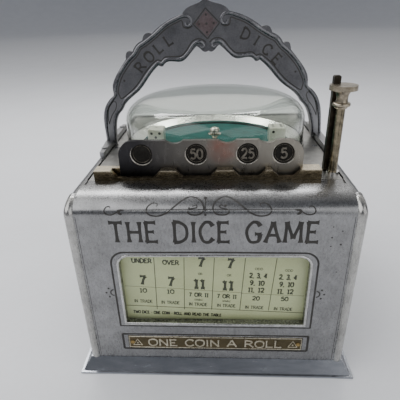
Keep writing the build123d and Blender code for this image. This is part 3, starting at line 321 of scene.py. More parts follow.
def start(name):
    """An empty material with its output, its shader and object coordinates."""
    finish = bpy.data.materials.new(name)
    finish.use_nodes = True
    tree = finish.node_tree
    tree.nodes.clear()
    out = node(tree, "OutputMaterial")
    shader = node(tree, "BsdfPrincipled")
    tree.links.new(shader.outputs[0], out.inputs["Surface"])
    place = node(tree, "TexCoord").outputs["Object"]
    return finish, tree, shader, place


def metal(name, light, dark, grime, mottle=14.0, scratch=(0.5, 6.0, 0.5), pit=1.6, rough=(0.3, 0.48),
          bump=0.06, grime_share=0.5):
    """A worked metal surface. Broad cloudy tone from slow noise, polishing marks from noise drawn out
    along one axis, small dark pits from the cell centres of a Voronoi pattern, and a roughness and a
    bump that follow them. Sizes are millimetres."""
    finish, tree, shader, place = start(name)
    cloud = node(tree, "TexNoise", {"Vector": place, "Scale": 1 / (mottle * MM), "Detail": 4.0,
                                    "Roughness": 0.6})
    lines = node(tree, "Mapping", {"Vector": place, "Scale": tuple(1 / (s * MM) for s in scratch)})
    marks = node(tree, "TexNoise", {"Vector": lines.outputs[0], "Scale": 1.0, "Detail": 3.0,
                                    "Roughness": 0.7})
    cells = node(tree, "TexVoronoi", {"Vector": place, "Scale": 1 / (pit * MM)})
    pits = node(tree, "MapRange", {"Value": cells.outputs["Distance"], "From Min": 0.05, "From Max": 0.28,
                                   "To Min": 1.0, "To Max": 0.0})
    patches = node(tree, "TexNoise", {"Vector": place, "Scale": 1 / (mottle * 0.35 * MM), "Detail": 5.0})
    where = node(tree, "MapRange", {"Value": patches.outputs["Fac"], "From Min": 0.5, "From Max": 0.68})
    dirt = node(tree, "Math", {0: pits.outputs[0], 1: where.outputs[0]}, operation="MULTIPLY")
    dirt = node(tree, "Math", {0: dirt.outputs[0], 1: grime_share}, operation="MULTIPLY")
    both = node(tree, "Mix", {0: 0.45, 2: cloud.outputs["Fac"], 3: marks.outputs["Fac"]})
    tone = node(tree, "MapRange", {"Value": both.outputs[0], "From Min": 0.34, "From Max": 0.66})
    colour = node(tree, "Mix", {0: tone.outputs[0], 6: dark, 7: light}, data_type="RGBA")
    colour = node(tree, "Mix", {0: dirt.outputs[0], 6: colour.outputs[2], 7: grime}, data_type="RGBA")
    gloss = node(tree, "MapRange", {"Value": marks.outputs["Fac"], "From Min": 0.3, "From Max": 0.7,
                                    "To Min": rough[0], "To Max": rough[1]})
    height = node(tree, "Math", {0: marks.outputs["Fac"], 1: dirt.outputs[0]}, operation="SUBTRACT")
    relief = node(tree, "Bump", {"Height": height.outputs[0], "Strength": bump, "Distance": 0.3 * MM})
    tree.links.new(colour.outputs[2], shader.inputs["Base Color"])
    tree.links.new(gloss.outputs[0], shader.inputs["Roughness"])
    tree.links.new(relief.outputs[0], shader.inputs["Normal"])
    shader.inputs["Metallic"].default_value = 1.0
    return finish


def plain(name, light, dark, grain=0.6, rough=(0.4, 0.6), bump=0.1, coat=0.0, sheen=0.0):
    """A non-metal: two tones mixed by fine noise, with roughness and bump from the same noise."""
    finish, tree, shader, place = start(name)
    fine = node(tree, "TexNoise", {"Vector": place, "Scale": 1 / (grain * MM), "Detail": 4.0,
                                   "Roughness": 0.65})
    broad = node(tree, "TexNoise", {"Vector": place, "Scale": 1 / (grain * 18 * MM), "Detail": 3.0})
    both = node(tree, "Mix", {0: 0.5, 2: fine.outputs["Fac"], 3: broad.outputs["Fac"]})
    tone = node(tree, "MapRange", {"Value": both.outputs[0], "From Min": 0.36, "From Max": 0.64})
    colour = node(tree, "Mix", {0: tone.outputs[0], 6: dark, 7: light}, data_type="RGBA")
    gloss = node(tree, "MapRange", {"Value": fine.outputs["Fac"], "From Min": 0.3, "From Max": 0.7,
                                    "To Min": rough[0], "To Max": rough[1]})
    relief = node(tree, "Bump", {"Height": fine.outputs["Fac"], "Strength": bump, "Distance": 0.2 * MM})
    tree.links.new(colour.outputs[2], shader.inputs["Base Color"])
    tree.links.new(gloss.outputs[0], shader.inputs["Roughness"])
    tree.links.new(relief.outputs[0], shader.inputs["Normal"])
    shader.inputs["Coat Weight"].default_value = coat
    shader.inputs["Sheen Weight"].default_value = sheen
    return finish


def clear_glass(name, tint, clearness, ripple, waviness=0.05):
    """Thin clear glass: it lets light straight through and mirrors more at a slant, by the 4th power of
    how far the surface turns away, with a slow ripple in its mirror as blown and drawn glass has."""
    finish = bpy.data.materials.new(name)
    finish.use_nodes = True
    tree = finish.node_tree
    tree.nodes.clear()
    place = node(tree, "TexCoord").outputs["Object"]
    wave = node(tree, "TexNoise", {"Vector": place, "Scale": 1 / (ripple * MM), "Detail": 1.0})
    relief = node(tree, "Bump", {"Height": wave.outputs["Fac"], "Strength": waviness, "Distance": 2 * MM})
    through = node(tree, "BsdfTransparent", {"Color": tint})
    mirror = node(tree, "BsdfGlossy", {"Color": (1, 1, 1, 1), "Roughness": 0.03, "Normal": relief.outputs[0]})
    slant = node(tree, "LayerWeight", {"Blend": 0.5, "Normal": relief.outputs[0]})
    share = node(tree, "Math", {0: slant.outputs["Facing"], 1: 4.0}, operation="POWER")
    share = node(tree, "MapRange", {"Value": share.outputs[0], "To Min": 0.025, "To Max": clearness})
    mixed = node(tree, "MixShader", {0: share.outputs[0], 1: through.outputs[0], 2: mirror.outputs[0]})
    node(tree, "OutputMaterial", {"Surface": mixed.outputs[0]})
    return finish


def fade(finish, axis, begin, end, colour, most=0.7):
    """Turns a finish towards another colour along one axis, between two places in millimetres."""
    tree = finish.node_tree
    shader = next(each for each in tree.nodes if each.type == "BSDF_PRINCIPLED")
    before = shader.inputs["Base Color"].links[0].from_socket
    xyz = node(tree, "SeparateXYZ", {0: node(tree, "TexCoord").outputs["Object"]})
    share = node(tree, "MapRange", {"Value": xyz.outputs[axis], "From Min": begin * MM, "From Max": end * MM,
                                    "To Max": most})
    mixed = node(tree, "Mix", {0: share.outputs[0], 6: before, 7: colour}, data_type="RGBA")
    tree.links.new(mixed.outputs[2], shader.inputs["Base Color"])
    return finish


def wear(finish, *nodes):
    """Puts a finish on CAD nodes, in their own slots."""
    for each in nodes:
        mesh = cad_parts[each].data
        if not mesh.materials:
            mesh.materials.append(None)
        for k in range(len(mesh.materials)):
            mesh.materials[k] = finish


# ======== sizes and colours =====================================================================
def tint(label, text, code):
    """A colour property, from an sRGB hex value."""
    return FloatVectorProperty(name=label, description=text, default=linear(code), size=4, subtype="COLOR",
                               min=0.0, max=1.0)


def length(label, text, default):
    """A length property in millimetres."""
    return FloatProperty(name=label, description=text, default=default, min=0.0, unit="NONE",
                         subtype="DISTANCE")


class DiceGameSizes(bpy.types.PropertyGroup):
    """Sizes of the ornament, in millimetres."""
    title_height: length("Title height", "Height of the engraved title's letters, in mm", 17.2)
    title_stroke: length("Title stroke", "Width of the title's strokes, in mm", 2.25)
    engraved_line: length("Engraved line", "Width of the blackened lines round window and plate, in mm", 0.75)
    scroll_line: length("Scroll line", "Width of the scrollwork on the nose, in mm", 1.25)
    rim_bead: length("Rim bead", "Width of the raised bead round the handle, in mm", 3.0)
    rim_lift: length("Rim lift", "Height of the handle's raised bead, in mm", 0.9)
    pip: length("Pip radius", "Radius of a pip on the dice, in mm", 1.35)


class DiceGameColours(bpy.types.PropertyGroup):
    """Colours of the finishes."""
    aluminium: tint("Aluminium", "Buffed cast aluminium where it is bright", "#949495")
    aluminium_dark: tint("Dull aluminium", "Cast aluminium where it is dull", "#777777")
    handle: tint("Handle", "The handle's darkened casting", "#4f4f52")
    bar: tint("Coin bar", "Worn nickel on the coin bar", "#9c8f76")
    head: tint("Coin head", "Blackened iron of the coin head", "#343335")
    baize: tint("Baize", "Green cloth of the dice table", "#0d6a66")
    card: tint("Card", "Aged card of the pay table", "#e2e0c8")
    ink: tint("Ink", "Printing on the card", "#262419")
    brass: tint("Brass ground", "Ground of the brass plate", "#4b4637")
    ivory: tint("Ivory", "The dice", "#efede2")


class DiceGameSettings(bpy.types.PropertyGroup):
    """Everything that a user would change."""
    sizes: PointerProperty(type=DiceGameSizes)
    colours: PointerProperty(type=DiceGameColours)
    title: StringProperty(name="Title", description="Plain words engraved on the front",
                          default="THE DICE GAME")
    plate_words: StringProperty(name="Plate words", description="Plain words on the brass plate",
                                default="ONE COIN A ROLL")


def settings():
    return bpy.context.scene.dice_game


# ======== operators =============================================================================
class DICEGAME_OT_castings(bpy.types.Operator):
    """Buffed aluminium on the cabinet's castings, skirt, deck and door"""
    bl_idname = "dicegame.castings"
    bl_label = "Castings"

    def execute(self, context):
        c = settings().colours
        # Sand-cast aluminium, buffed and long handled: soft grey sheen, cloudy, with fine pits and rub marks.
        face = metal("buffed_cast_aluminium", c.aluminium, c.aluminium_dark, linear("#4b4945"),
                     mottle=13, scratch=(1.6, 1.6, 3.2), pit=1.7, rough=(0.25, 0.31), bump=0.006,
                     grime_share=0.45)
        wear(face, "front_casting", "left_side_casting", "right_side_casting", "rear_frame", "rear_door")
        # The flared base is the same casting, bluer and with long horizontal polishing marks.
        wear(metal("polished_base_aluminium", linear("#a3a6ac"), linear("#8a8d93"), linear("#4b4c50"),
                   mottle=24, scratch=(18, 18, 4), pit=2.4, rough=(0.22, 0.28), bump=0.004,
                   grime_share=0.3), "base_skirt")
        # The deck is a rolled plate, duller, stained in random patches.
        wear(metal("dull_aluminium_plate", linear("#a3a29f"), linear("#75736f"), linear("#3a3733"),
                   mottle=11, scratch=(4, 1.2, 1.2), pit=1.6, rough=(0.3, 0.44), bump=0.03), "deck_plate")
        return {"FINISHED"}


class DICEGAME_OT_fittings(bpy.types.Operator):
    """Metal finishes on the coin bar, coin head, plunger, ring and handle"""
    bl_idname = "dicegame.fittings"
    bl_label = "Fittings"

    def execute(self, context):
        c = settings().colours
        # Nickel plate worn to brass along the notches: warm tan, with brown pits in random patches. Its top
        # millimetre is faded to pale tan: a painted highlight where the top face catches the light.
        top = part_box("coin_bar")[1][2] / MM
        bar = metal("worn_nickel_with_painted_highlight", c.bar, linear("#55492f"), linear("#241f18"), mottle=6,
                    scratch=(5, 0.8, 0.8), pit=1.4, rough=(0.2, 0.34), bump=0.05, grime_share=0.8)
        # the fade below is a painted highlight: the bar's top face made lighter than its front
        wear(fade(bar, 2, top - 1.2, top - 0.2, linear("#d8cdb6"), 0.85), "coin_bar")
        # Blackened iron, rubbed smooth: nearly black at the left, greyer at the right, with a reddish worn
        # patch in the middle.
        iron, tree, shader, place = start("blackened_iron")
        xyz = node(tree, "SeparateXYZ", {0: place})
        along = node(tree, "MapRange", {"Value": xyz.outputs[0], "From Min": -0.06, "From Max": 0.07})
        tone = node(tree, "Mix", {0: along.outputs[0], 6: c.head, 7: linear("#8f8a80")}, data_type="RGBA")
        middle = node(tree, "VectorMath", {0: place, 1: (0.007, -0.077, 0.186)}, operation="DISTANCE")
        patch = node(tree, "TexNoise", {"Vector": place, "Scale": 160.0, "Detail": 3.0})
        near = node(tree, "MapRange", {"Value": middle.outputs["Value"], "From Min": 0.004, "From Max": 0.014,
                                       "To Min": 0.95, "To Max": 0.0})
        wear_and_highlight = node(tree, "Math", {0: near.outputs[0], 1: patch.outputs["Fac"]}, operation="MULTIPLY")
        tone = node(tree, "Mix", {0: wear_and_highlight.outputs[0], 6: tone.outputs[2], 7: linear("#7d4a3e")},
                    data_type="RGBA")
        marks = node(tree, "Mapping", {"Vector": place, "Scale": (500.0, 500.0, 130.0)})
        marks = node(tree, "TexNoise", {"Vector": marks.outputs[0], "Scale": 1.0, "Detail": 4.0})
        gloss = node(tree, "MapRange", {"Value": marks.outputs["Fac"], "From Min": 0.3, "From Max": 0.7,
                                        "To Min": 0.24, "To Max": 0.42})
        relief = node(tree, "Bump", {"Height": marks.outputs["Fac"], "Strength": 0.1, "Distance": 0.3 * MM})
        tree.links.new(tone.outputs[2], shader.inputs["Base Color"])
        tree.links.new(gloss.outputs[0], shader.inputs["Roughness"])
        tree.links.new(relief.outputs[0], shader.inputs["Normal"])
        shader.inputs["Metallic"].default_value = 1.0
        wear(iron, "coin_head")
        # Drawn rod, tarnished: dark and light streaks run its length.
        wear(metal("tarnished_nickel_rod", linear("#9c927c"), linear("#2f2b23"), linear("#1b1813"), mottle=4,
                   scratch=(0.9, 0.9, 40), pit=1.2, rough=(0.2, 0.38), bump=0.12, grime_share=0.7),
                   "plunger_rod")
        wear(metal("tarnished_turned_brass", linear("#b8ae9c"), linear("#5a5141"), linear("#27221a"),
                   mottle=5,
                   scratch=(0.5, 0.5, 0.3), pit=1.2, rough=(0.2, 0.36), bump=0.10, grime_share=0.7),
                   "plunger_cap")
        wear(metal("dark_square_bar", linear("#4a443a"), linear("#1d1a16"), linear("#3c1f1c"), mottle=5,
                   scratch=(0.7, 0.7, 12), pit=1.4, rough=(0.3, 0.46), bump=0.10), "guide_post")
        # Bright nickel ring round the table, hardly worn.
        wear(metal("bright_nickel", linear("#f0efec"), linear("#d2d0cb"), linear("#77736a"), mottle=14,
                   scratch=(0.9, 0.9, 0.9), pit=2.5, rough=(0.16, 0.26), bump=0.015, grime_share=0.3),
             "dish_ring", "plunger_bushing")
        wear(metal("spun_nickel_band", linear("#a5a39d"), linear("#6b6964"), linear("#2c2a26"), mottle=12,
                   scratch=(2, 2, 0.6), pit=2.5, rough=(0.16, 0.28), bump=0.02, grime_share=0.4),
                   "dome_bezel")
        # The handle is aluminium gone dark like pewter, faded lighter towards its feet at the deck.
        pewter = metal("darkened_pewter_casting", linear("#6b6b6e"), c.handle, linear("#2c2624"), mottle=13,
                       scratch=(1.2, 1.2, 1.2), pit=1.5, rough=(0.28, 0.42), bump=0.06, grime_share=0.7)
        wear(fade(pewter, 2, 215, 165, linear("#a2a2a3"), 0.75), "handle_arch", "arch_screws")
        return {"FINISHED"}


class DICEGAME_OT_mechanism(bpy.types.Operator):
    """Steel, spring wire, brass, wood and rubber inside the cabinet"""
    bl_idname = "dicegame.mechanism"
    bl_label = "Mechanism"

    def execute(self, context):
        # Mild steel sheet and bar, oiled and dull, with brown specks of rust.
        wear(metal("oiled_mild_steel", linear("#8a8b8d"), linear("#5b5b5d"), linear("#4c3325"), mottle=9,
                   scratch=(4, 0.6, 0.6), pit=1.5, rough=(0.34, 0.5), bump=0.08),
             "base_plate", "card_backing", "backing_clips", "cash_tray", "coin_chute", "coin_shutter",
             "shutter_guides", "mechanism_bridge", "plunger_guide", "plunger_arm", "lift_arm", "shutter_arm",
             "rocker_bracket_inner", "rocker_bracket_outer", "table_disc", "lock_cam")
        # Turned steel: fine rings, brighter.
        wear(metal("turned_bright_steel", linear("#b3b3b4"), linear("#7c7c7e"), linear("#3f362d"), mottle=6,
                   scratch=(0.5, 0.5, 0.25), pit=1.5, rough=(0.2, 0.34), bump=0.05, grime_share=0.4),
             "base_screws", "clip_screws", "deck_screws", "hinge_pins", "hinge_frame_leaves",
             "hinge_door_leaves", "rocker_shaft", "table_stem", "stem_collar", "plunger_collar")
        # Hard-drawn spring wire, blue-grey.
        wear(metal("drawn_spring_wire", linear("#7d828a"), linear("#4a4e55"), linear("#2b241f"), mottle=4,
                   scratch=(0.6, 0.6, 0.6), pit=1.2, rough=(0.22, 0.36), bump=0.04, grime_share=0.3),
             "plunger_spring", "table_spring")
        # Aged yellow brass of lock and bushings.
        wear(metal("aged_brass", linear("#b39a66"), linear("#7c6740"), linear("#3a2f1c"), mottle=5,
                   scratch=(0.5, 0.5, 0.5), pit=1.3, rough=(0.22, 0.38), bump=0.06),
             "lock_barrel", "lock_plug", "stem_bushing", "name_plate_pins")
        # Planed hardwood runners: darker latewood lines every 2 mm along the length.
        wood, tree, shader, place = start("planed_hardwood")
        grain = node(tree, "Mapping", {"Vector": place, "Scale": (420.0, 25.0, 420.0)})
        rings = node(tree, "TexNoise", {"Vector": grain.outputs[0], "Scale": 1.0, "Detail": 4.0})
        colour = node(tree, "Mix", {0: rings.outputs["Fac"], 6: linear("#5b3c20"), 7: linear("#9a7145")},
                      data_type="RGBA")
        relief = node(tree, "Bump", {"Height": rings.outputs["Fac"], "Strength": 0.2, "Distance": 0.2 * MM})
        tree.links.new(colour.outputs[2], shader.inputs["Base Color"])
        tree.links.new(relief.outputs[0], shader.inputs["Normal"])
        shader.inputs["Roughness"].default_value = 0.6
        wear(wood, "tray_runners")
        # Black rubber strip: matt, faintly dusty.
        wear(plain("black_sheet_rubber", linear("#2a2a2a"), linear("#161616"), grain=0.8, rough=(0.6, 0.8)),
             "dome_gasket")
        return {"FINISHED"}


def blackening():
    """Black wax and old grime in an engraved line: matt, a little uneven."""
    made = bpy.data.materials.get("engraver_black")
    return made or plain("engraver_black", linear("#2d2a26"), linear("#1d1b19"), grain=0.7,
                         rough=(0.5, 0.75), bump=0.2)


def bright_edge():
    """The burnished lip round an opening, brighter than the casting; the same finish makes the painted
    highlight strips beside engraved lines.
    """
    made = bpy.data.materials.get("burnished_lip_and_painted_highlight")
    return made or metal("burnished_lip_and_painted_highlight", linear("#d2d2d0"), linear("#a5a4a1"), linear("#6a6863"),
                         mottle=9, scratch=(2, 2, 2), pit=2.0, rough=(0.18, 0.3), bump=0.04, grime_share=0.4)


class DICEGAME_OT_corner_moulding(bpy.types.Operator):
    """The lighter crown of the moulding that runs up each corner and over the nose: a painted highlight"""
    bl_idname = "dicegame.corner_moulding"
    bl_label = "Corner moulding"

    def execute(self, context):
        # The path stands on the moulding's own centre line: straight up, then a quarter of an ellipse.
        a = np.radians(np.linspace(0, 62, 30))
        rise = np.concatenate([np.linspace(12.5, 150, 20), NOSE_Z + MOULDING_RISE * np.sin(a)])
        depth = MOULDING_FROM_NOSE * np.concatenate([np.ones(20), np.cos(a)])
        turn = np.linspace(0, 2 * np.pi, 24, endpoint=False)
        parts = []
        for side in (-1, 1):
            at = np.stack([np.full(50, side * MOULDING_X), NOSE_Y - depth, rise], 1)
            along = np.gradient(at, axis=0)
            along /= np.linalg.norm(along, axis=1, keepdims=True)
            out = np.cross(along, [1.0, 0.0, 0.0])
            radius = MOULDING_CROWN_R * np.concatenate([np.ones(46), [0.97, 0.88, 0.7, 0.35]])
            ring = np.cos(turn)[None, :, None] * out[:, None] + np.sin(turn)[None, :,
                    None] * np.array([1.0, 0, 0])
            parts.append(tube(at[:, None] + radius[:, None, None] * ring))
        # Lighter aluminium sleeved over the moulding: a painted highlight along its rounded crown.
        build("corner_moulding_crowns", parts, metal("corner_aluminium_painted_highlight", linear("#b9b8b5"),
                                                     linear("#8f8e8b"),
              linear("#4b4945"), mottle=13, scratch=(1.6, 1.6, 6), pit=1.8, rough=(0.22, 0.32), bump=0.015,
              grime_share=0.4), "cabinet")
        return {"FINISHED"}


class DICEGAME_OT_title(bpy.types.Operator):
    """The engraved title across the front, and the black casting pits beside it"""
    bl_idname = "dicegame.title"
    bl_label = "Engraved title"

    def execute(self, context):
        s = settings().sizes
        face = on_face()
        parts = write(settings().title, face, 0.0, 129.9, s.title_height, s.title_stroke, width=151.0,
                      gap=0.24, flare=0.7, lift=0.1)
        parts += [dot(85.0, x, face, r, lift=0.05) for x, r in ((143.0, 0.5), (134.2, 0.7), (126.8, 0.55))]
        parts += [dot(91.8, x, face, r, lift=0.05) for x, r in ((139.6, 0.55), (128.4, 0.8), (104.0, 0.5))]
        build("title_letters", parts, blackening(), "cabinet")
        return {"FINISHED"}


# Right half of the scrollwork: x from its middle, and degrees round the nose.
SCROLL = [
    (11.5, 29), (8.6, 33), (8.4, 26), (12.6, 22), (14.6, 13), (11.6, 4), (6.2, 6), (3.4, 20), (4.0, 36),
    (7.6, 49), (12.5, 54), (17.5, 48), (23.5, 31), (30.0, 10), (35.6, 0), (41.0, 2), (44.0, 14), (43.4, 28),
    (40.0, 38), (36.6, 36), (37.0, 29)]
END_CURL = [(60.0, 20), (64.0, 18), (67.2, 8), (70.4, 4), (73.6, 8), (74.6, 18), (73.2, 28), (70.8, 29),
            (70.4, 24)]
END_LEAF = [(60.5, 20), (64.4, 17), (63.4, 9), (61.6, 6)]


class DICEGAME_OT_scrollwork(bpy.types.Operator):
    """The scrollwork engraved on the rounded top of the front, with a painted highlight strip under its long
    line
    """
    bl_idname = "dicegame.scrollwork"
    bl_label = "Scrollwork"

    def execute(self, context):
        w = settings().sizes.scroll_line
        dark, lit = [], []
        for side in (-1, 1):
            for points, width, taper in ((SCROLL, w, 0.55), (END_CURL, w * 0.8, 0.6),
                                         (END_LEAF, w * 1.5, 0.7)):
                p = smooth([(side * x - 3.0, a) for x, a in points], 8)
                dark.append(ribbon(p, on_nose, width, lift=0.06, sunk=0.3, taper=taper))
        line = np.stack([np.linspace(-63, 57, 60), np.full(60, 20.0)], 1)
        dark.append(ribbon(line, on_nose, 0.5, lift=0.05, sunk=0.3, taper=0.4))
        # a thin bright strip just below the engraved line: a painted highlight
        lit.append(ribbon(line - [0, 3.2], on_nose, 0.45, lift=0.07, sunk=0.3, taper=0.6))
        stem = np.stack([np.full(12, -5.2), np.linspace(24, 48, 12)], 1)
        dark.append(ribbon(stem, on_nose, 0.7, lift=0.05, sunk=0.3, flare=0.8))
        dark += [dot(-5.2, 51, on_nose, 1.25), dot(-5.2, 4, on_nose, 0.9), dot(-5.2, 20, on_nose, 1.0),
                 dot(-16.5, 24, on_nose, 0.8), dot(9.0, 31, on_nose, 1.0)]
        build("nose_scrollwork", dark, blackening(), "cabinet")
        build("nose_scroll_highlight", lit, bright_edge(), "cabinet")
        return {"FINISHED"}


class DICEGAME_OT_window_trim(bpy.types.Operator):
    """Blackened outlines round the window and the brass plate, the window's lips, a painted highlight under
    the plate's top line, and the side lines
    """
    bl_idname = "dicegame.window_trim"
    bl_label = "Window trim"

    def execute(self, context):
        w = settings().sizes.engraved_line
        face = on_face()
        dark, lit = [], []
        x, r = FRAME_X, FRAME_R
        frame_line = np.vstack([[(-x, FRAME_LOW)], [(-x, 80.0)],
                                circle(-x + r, FRAME_TOP - r, r, 180, 90, 12),
                                [(0, FRAME_TOP + 0.4)], circle(x - r, FRAME_TOP - r, r, 90, 0, 12),
                                [(x, 80.0)], [(x, FRAME_LOW)]])
        dark.append(ribbon(frame_line, face, w * 2.0, lift=0.1, sunk=0.3))
        dark.append(ribbon([(-78.4, 47.6), (0, 47.4), (78.4, 47.6)], face, w * 1.5, lift=0.1))
        x, r = LIP_X, LIP_R
        lip = np.vstack([[(-x, LIP_LOW)], [(-x, 80)], circle(-x + r, LIP_TOP - r, r, 180, 90, 12),
                         [(0, LIP_TOP)],
                         circle(x - r, LIP_TOP - r, r, 90, 0, 12), [(x, 80)], [(x, LIP_LOW)]])
        lit.append(ribbon(lip, face, 1.9, lift=0.6, sunk=0.3))
        lit.append(ribbon([(-73.9, 50.0), (0, 50.0), (73.9, 50.0)], face, 2.6, lift=0.9))
        dark.append(ribbon(lip * [1.004, 1.0] + [0, 0.9], face, 0.45, lift=0.14))
        # brass plate surround
        x, top, low = PLATE_LINE_X, PLATE_LINE_TOP, PLATE_LINE_LOW
        for a, b in (((-x, top), (x, top)), ((x, top + 0.3), (x, low - 0.2)), ((x, low), (-x, low)),
                     ((-x, low - 0.2), (-x, top + 0.3))):
            p = np.linspace(a, b, 4)
            dark.append(ribbon(p, face, w * 2.6, lift=0.1))
        # a thin bright strip just under the plate's top line: a painted highlight
        lit.append(ribbon([(-73, 37.2), (0, 37.2), (73, 37.2)], face, 0.7, lift=0.2))
        # small sunbursts beside the window
        for side in (-1, 1):
            dark.append(ribbon(circle(side * 79.0, 82.6, 2.9, 90 - side * 90 - 85, 90 - side * 90 + 85,
                                      16), face, 1.1, lift=0.1))
            dark += [dot(side * x, z, face, 0.85, lift=0.1) for x,
                     z in ((83.3, 86.6), (85.4, 82.5), (83.2, 78.4))]
            # fine double line down each side, inside the corner moulding
            for x in (99.2, 100.8):
                dark.append(ribbon([(side * x, 13.5), (side * x, 80), (side * x, 151)], face, 0.4, lift=0.06))
        build("window_and_plate_lines", dark, blackening(), "cabinet")
        build("window_lips_and_plate_highlight", lit, bright_edge(), "cabinet")
        return {"FINISHED"}


class DICEGAME_OT_pay_card(bpy.types.Operator):
    """The printed pay card behind its glass"""
    bl_idname = "dicegame.pay_card"
    bl_label = "Pay card"

    def execute(self, context):
        c = settings().colours
        lo, hi = (np.array(v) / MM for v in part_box("pay_card"))

        def sheet(uv):
            """The card bows a little: its face is a product of slow sines behind the glass."""
            uv = np.asarray(uv, float)
            bow = 0.10 * np.sin(uv[:, 0] / 21.0) * np.sin(uv[:, 1] / 17.0)
            at = np.stack([uv[:, 0], lo[1] + 0.22 + bow, uv[:, 1]], 1)
            return at, np.tile([0.0, -1.0, 0.0], (len(uv), 1))

        u, v = np.meshgrid(np.linspace(lo[0], hi[0], 61), np.linspace(lo[2], hi[2], 31), indexing="ij")
        front, _ = sheet(np.stack([u.ravel(), v.ravel()], 1))
        front = front.reshape(61, 31, 3)
        rings = np.concatenate([front, front[:, ::-1] + [0, 0.3, 0]], 1)
        # Coated card gone cream and faintly foxed.
        paper = plain("aged_printed_card", c.card, linear("#d3d0b3"), grain=1.1, rough=(0.55, 0.7), bump=0.05)
        card = build("printed_card", [tube(rings)], paper, "cabinet")
        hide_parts("pay_card")
        ink = plain("letterpress_ink", c.ink, linear("#332f25"), grain=0.5, rough=(0.5, 0.7), bump=0.05)
        thin = dict(lift=0.05, sunk=0.02)
        parts = []
        bars = [(-46.8, -47.5), (-23.2, -24.7), (0.3, -2.0), (24.2, 21.2), (48.2, 44.7)]
        for top, low in bars:
            parts.append(ribbon(np.linspace((top + 0.4, 111), (low - 0.1, 59), 8), sheet, 0.6, **thin))
        parts.append(ribbon(np.linspace((-72, 83.2), (-24, 80.4), 8), sheet, 0.32, **thin))
        parts.append(ribbon(np.linspace((-24, 80.0), (22, 77.2), 8), sheet, 0.32, **thin))
        parts.append(ribbon(np.linspace((22, 76.6), (72, 74.4), 8), sheet, 0.32, **thin))
        parts.append(ribbon(np.linspace((-73, 63.0), (73, 56.6), 20), sheet, 0.6, **thin))
        slope = -2.3
        def put(text, x, z, h, stroke, w=None, flare=0.6):
            parts.extend(write(text, sheet, x, z - h / 2, h, stroke, width=w, flare=flare, turn=slope,
                               **thin))
        put("UNDER", -56.3, 108.0, 4.0, 1.0, 15.5)
        put("OVER", -33.4, 106.4, 4.0, 1.0, 12.5)
        put("7", -57.0, 89.0, 8.6, 2.0)
        put("7", -34.3, 87.6, 8.6, 2.0)
        for x, z in ((-9.6, 106.8), (13.2, 105.6)):
            put("7", x, z, 8.6, 2.0)
            put("OR", x - 1.0, z - 11.2, 1.9, 0.35, 3.2)
            put("11", x - 2.0, z - 21.2, 8.6, 2.0, 8.6)
            put("7 OR 11", x - 2.8, z - 32.3, 3.8, 0.9, 15.5)
            put("DOUBLE", x - 3.0, z - 37.4, 1.6, 0.3, 6.5)
        for x, z in ((35.0, 94.3), (58.2, 93.0)):
            put("ODD", x + 0.3, z + 6.4, 1.9, 0.35, 6.0)
            put("2, 3, 4", x, z, 4.4, 1.05, 13.5)
            put("9, 10", x - 0.6, z - 7.2, 4.4, 1.05, 11.0)
            put("11, 12", x - 1.2, z - 14.2, 4.4, 1.05, 12.5)
        for text, x, z in (("10", -57.6, 78.6), ("10", -35.2, 77.6), ("20", 34.0, 71.6), ("50", 57.0, 71.2)):
            put(text, x, z, 4.0, 0.9, 5.6)
        for x, z in ((-58.4, 67.4), (-36.0, 66.2), (-13.2, 64.6), (10.0, 63.6), (33.0, 62.0), (56.5, 60.6)):
            put("IN TRADE", x, z, 3.0, 0.55, 15.0)
        put("TWO DICE - ONE COIN - ROLL AND READ THE TABLE", -31.0, 54.6, 2.8, 0.75, 74.0)
        build("card_printing", parts, ink, "cabinet", flat=True)
        # Old sheet glass: clear, with a faint green cast and a slow ripple.
        wear(clear_glass("drawn_sheet_glass", linear("#f5f8f0"), 0.6, 30.0), "card_glass")
        return {"FINISHED"}


class DICEGAME_OT_name_plate(bpy.types.Operator):
    """Raised border, letters and end ornaments of the brass plate"""
    bl_idname = "dicegame.name_plate"
    bl_label = "Brass plate"

    def execute(self, context):
        c = settings().colours
        lo, hi = (np.array(v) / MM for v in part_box("name_plate"))
        face = on_face(lo[1])
        # Cast brass, its ground blackened and the raised work rubbed nearly silver.
        ground = metal("blackened_brass_ground", linear("#6b5f48"), c.brass, linear("#5b2f28"), mottle=9,
                       scratch=(1.2, 1.2, 1.2), pit=1.1, rough=(0.4, 0.6), bump=0.35, grime_share=0.9)
        wear(ground, "name_plate")
        top = metal("rubbed_brass_relief", linear("#d8d2c0"), linear("#a89f88"), linear("#5a4f3d"), mottle=7,
                    scratch=(2, 0.6, 0.6), pit=1.2, rough=(0.22, 0.38), bump=0.06, grime_share=0.5)
        parts = []
        z0, z1, x1 = lo[2] + 0.7, hi[2] - 0.7, hi[0] - 0.7
        for a, b in (((-x1, z0), (x1, z0)), ((x1, z0), (x1, z1)), ((x1, z1), (-x1, z1)),
                     ((-x1, z1), (-x1, z0))):
            parts.append(ribbon(np.linspace(a, b, 4), face, 0.9, lift=0.5))
        mid = (z0 + z1) / 2
        parts += write(settings().plate_words, face, 0.0, mid - 3.6, 7.4, 1.1, width=112.0, flare=0.5,
                       lift=0.55)
        for side in (-1, 1):
            p = [(side * 69.2, mid - 3.4), (side * 65.4, mid + 3.2), (side * 61.6, mid - 3.4),
                 (side * 69.2, mid - 3.4)]
            parts += [ribbon(np.linspace(a, b, 4), face, 0.7, lift=0.45) for a, b in zip(p, p[1:])]
            parts.append(dot(side * 65.4, mid - 1.2, face, 0.8, lift=0.45))
        build("plate_relief", parts, top, "cabinet")
        return {"FINISHED"}


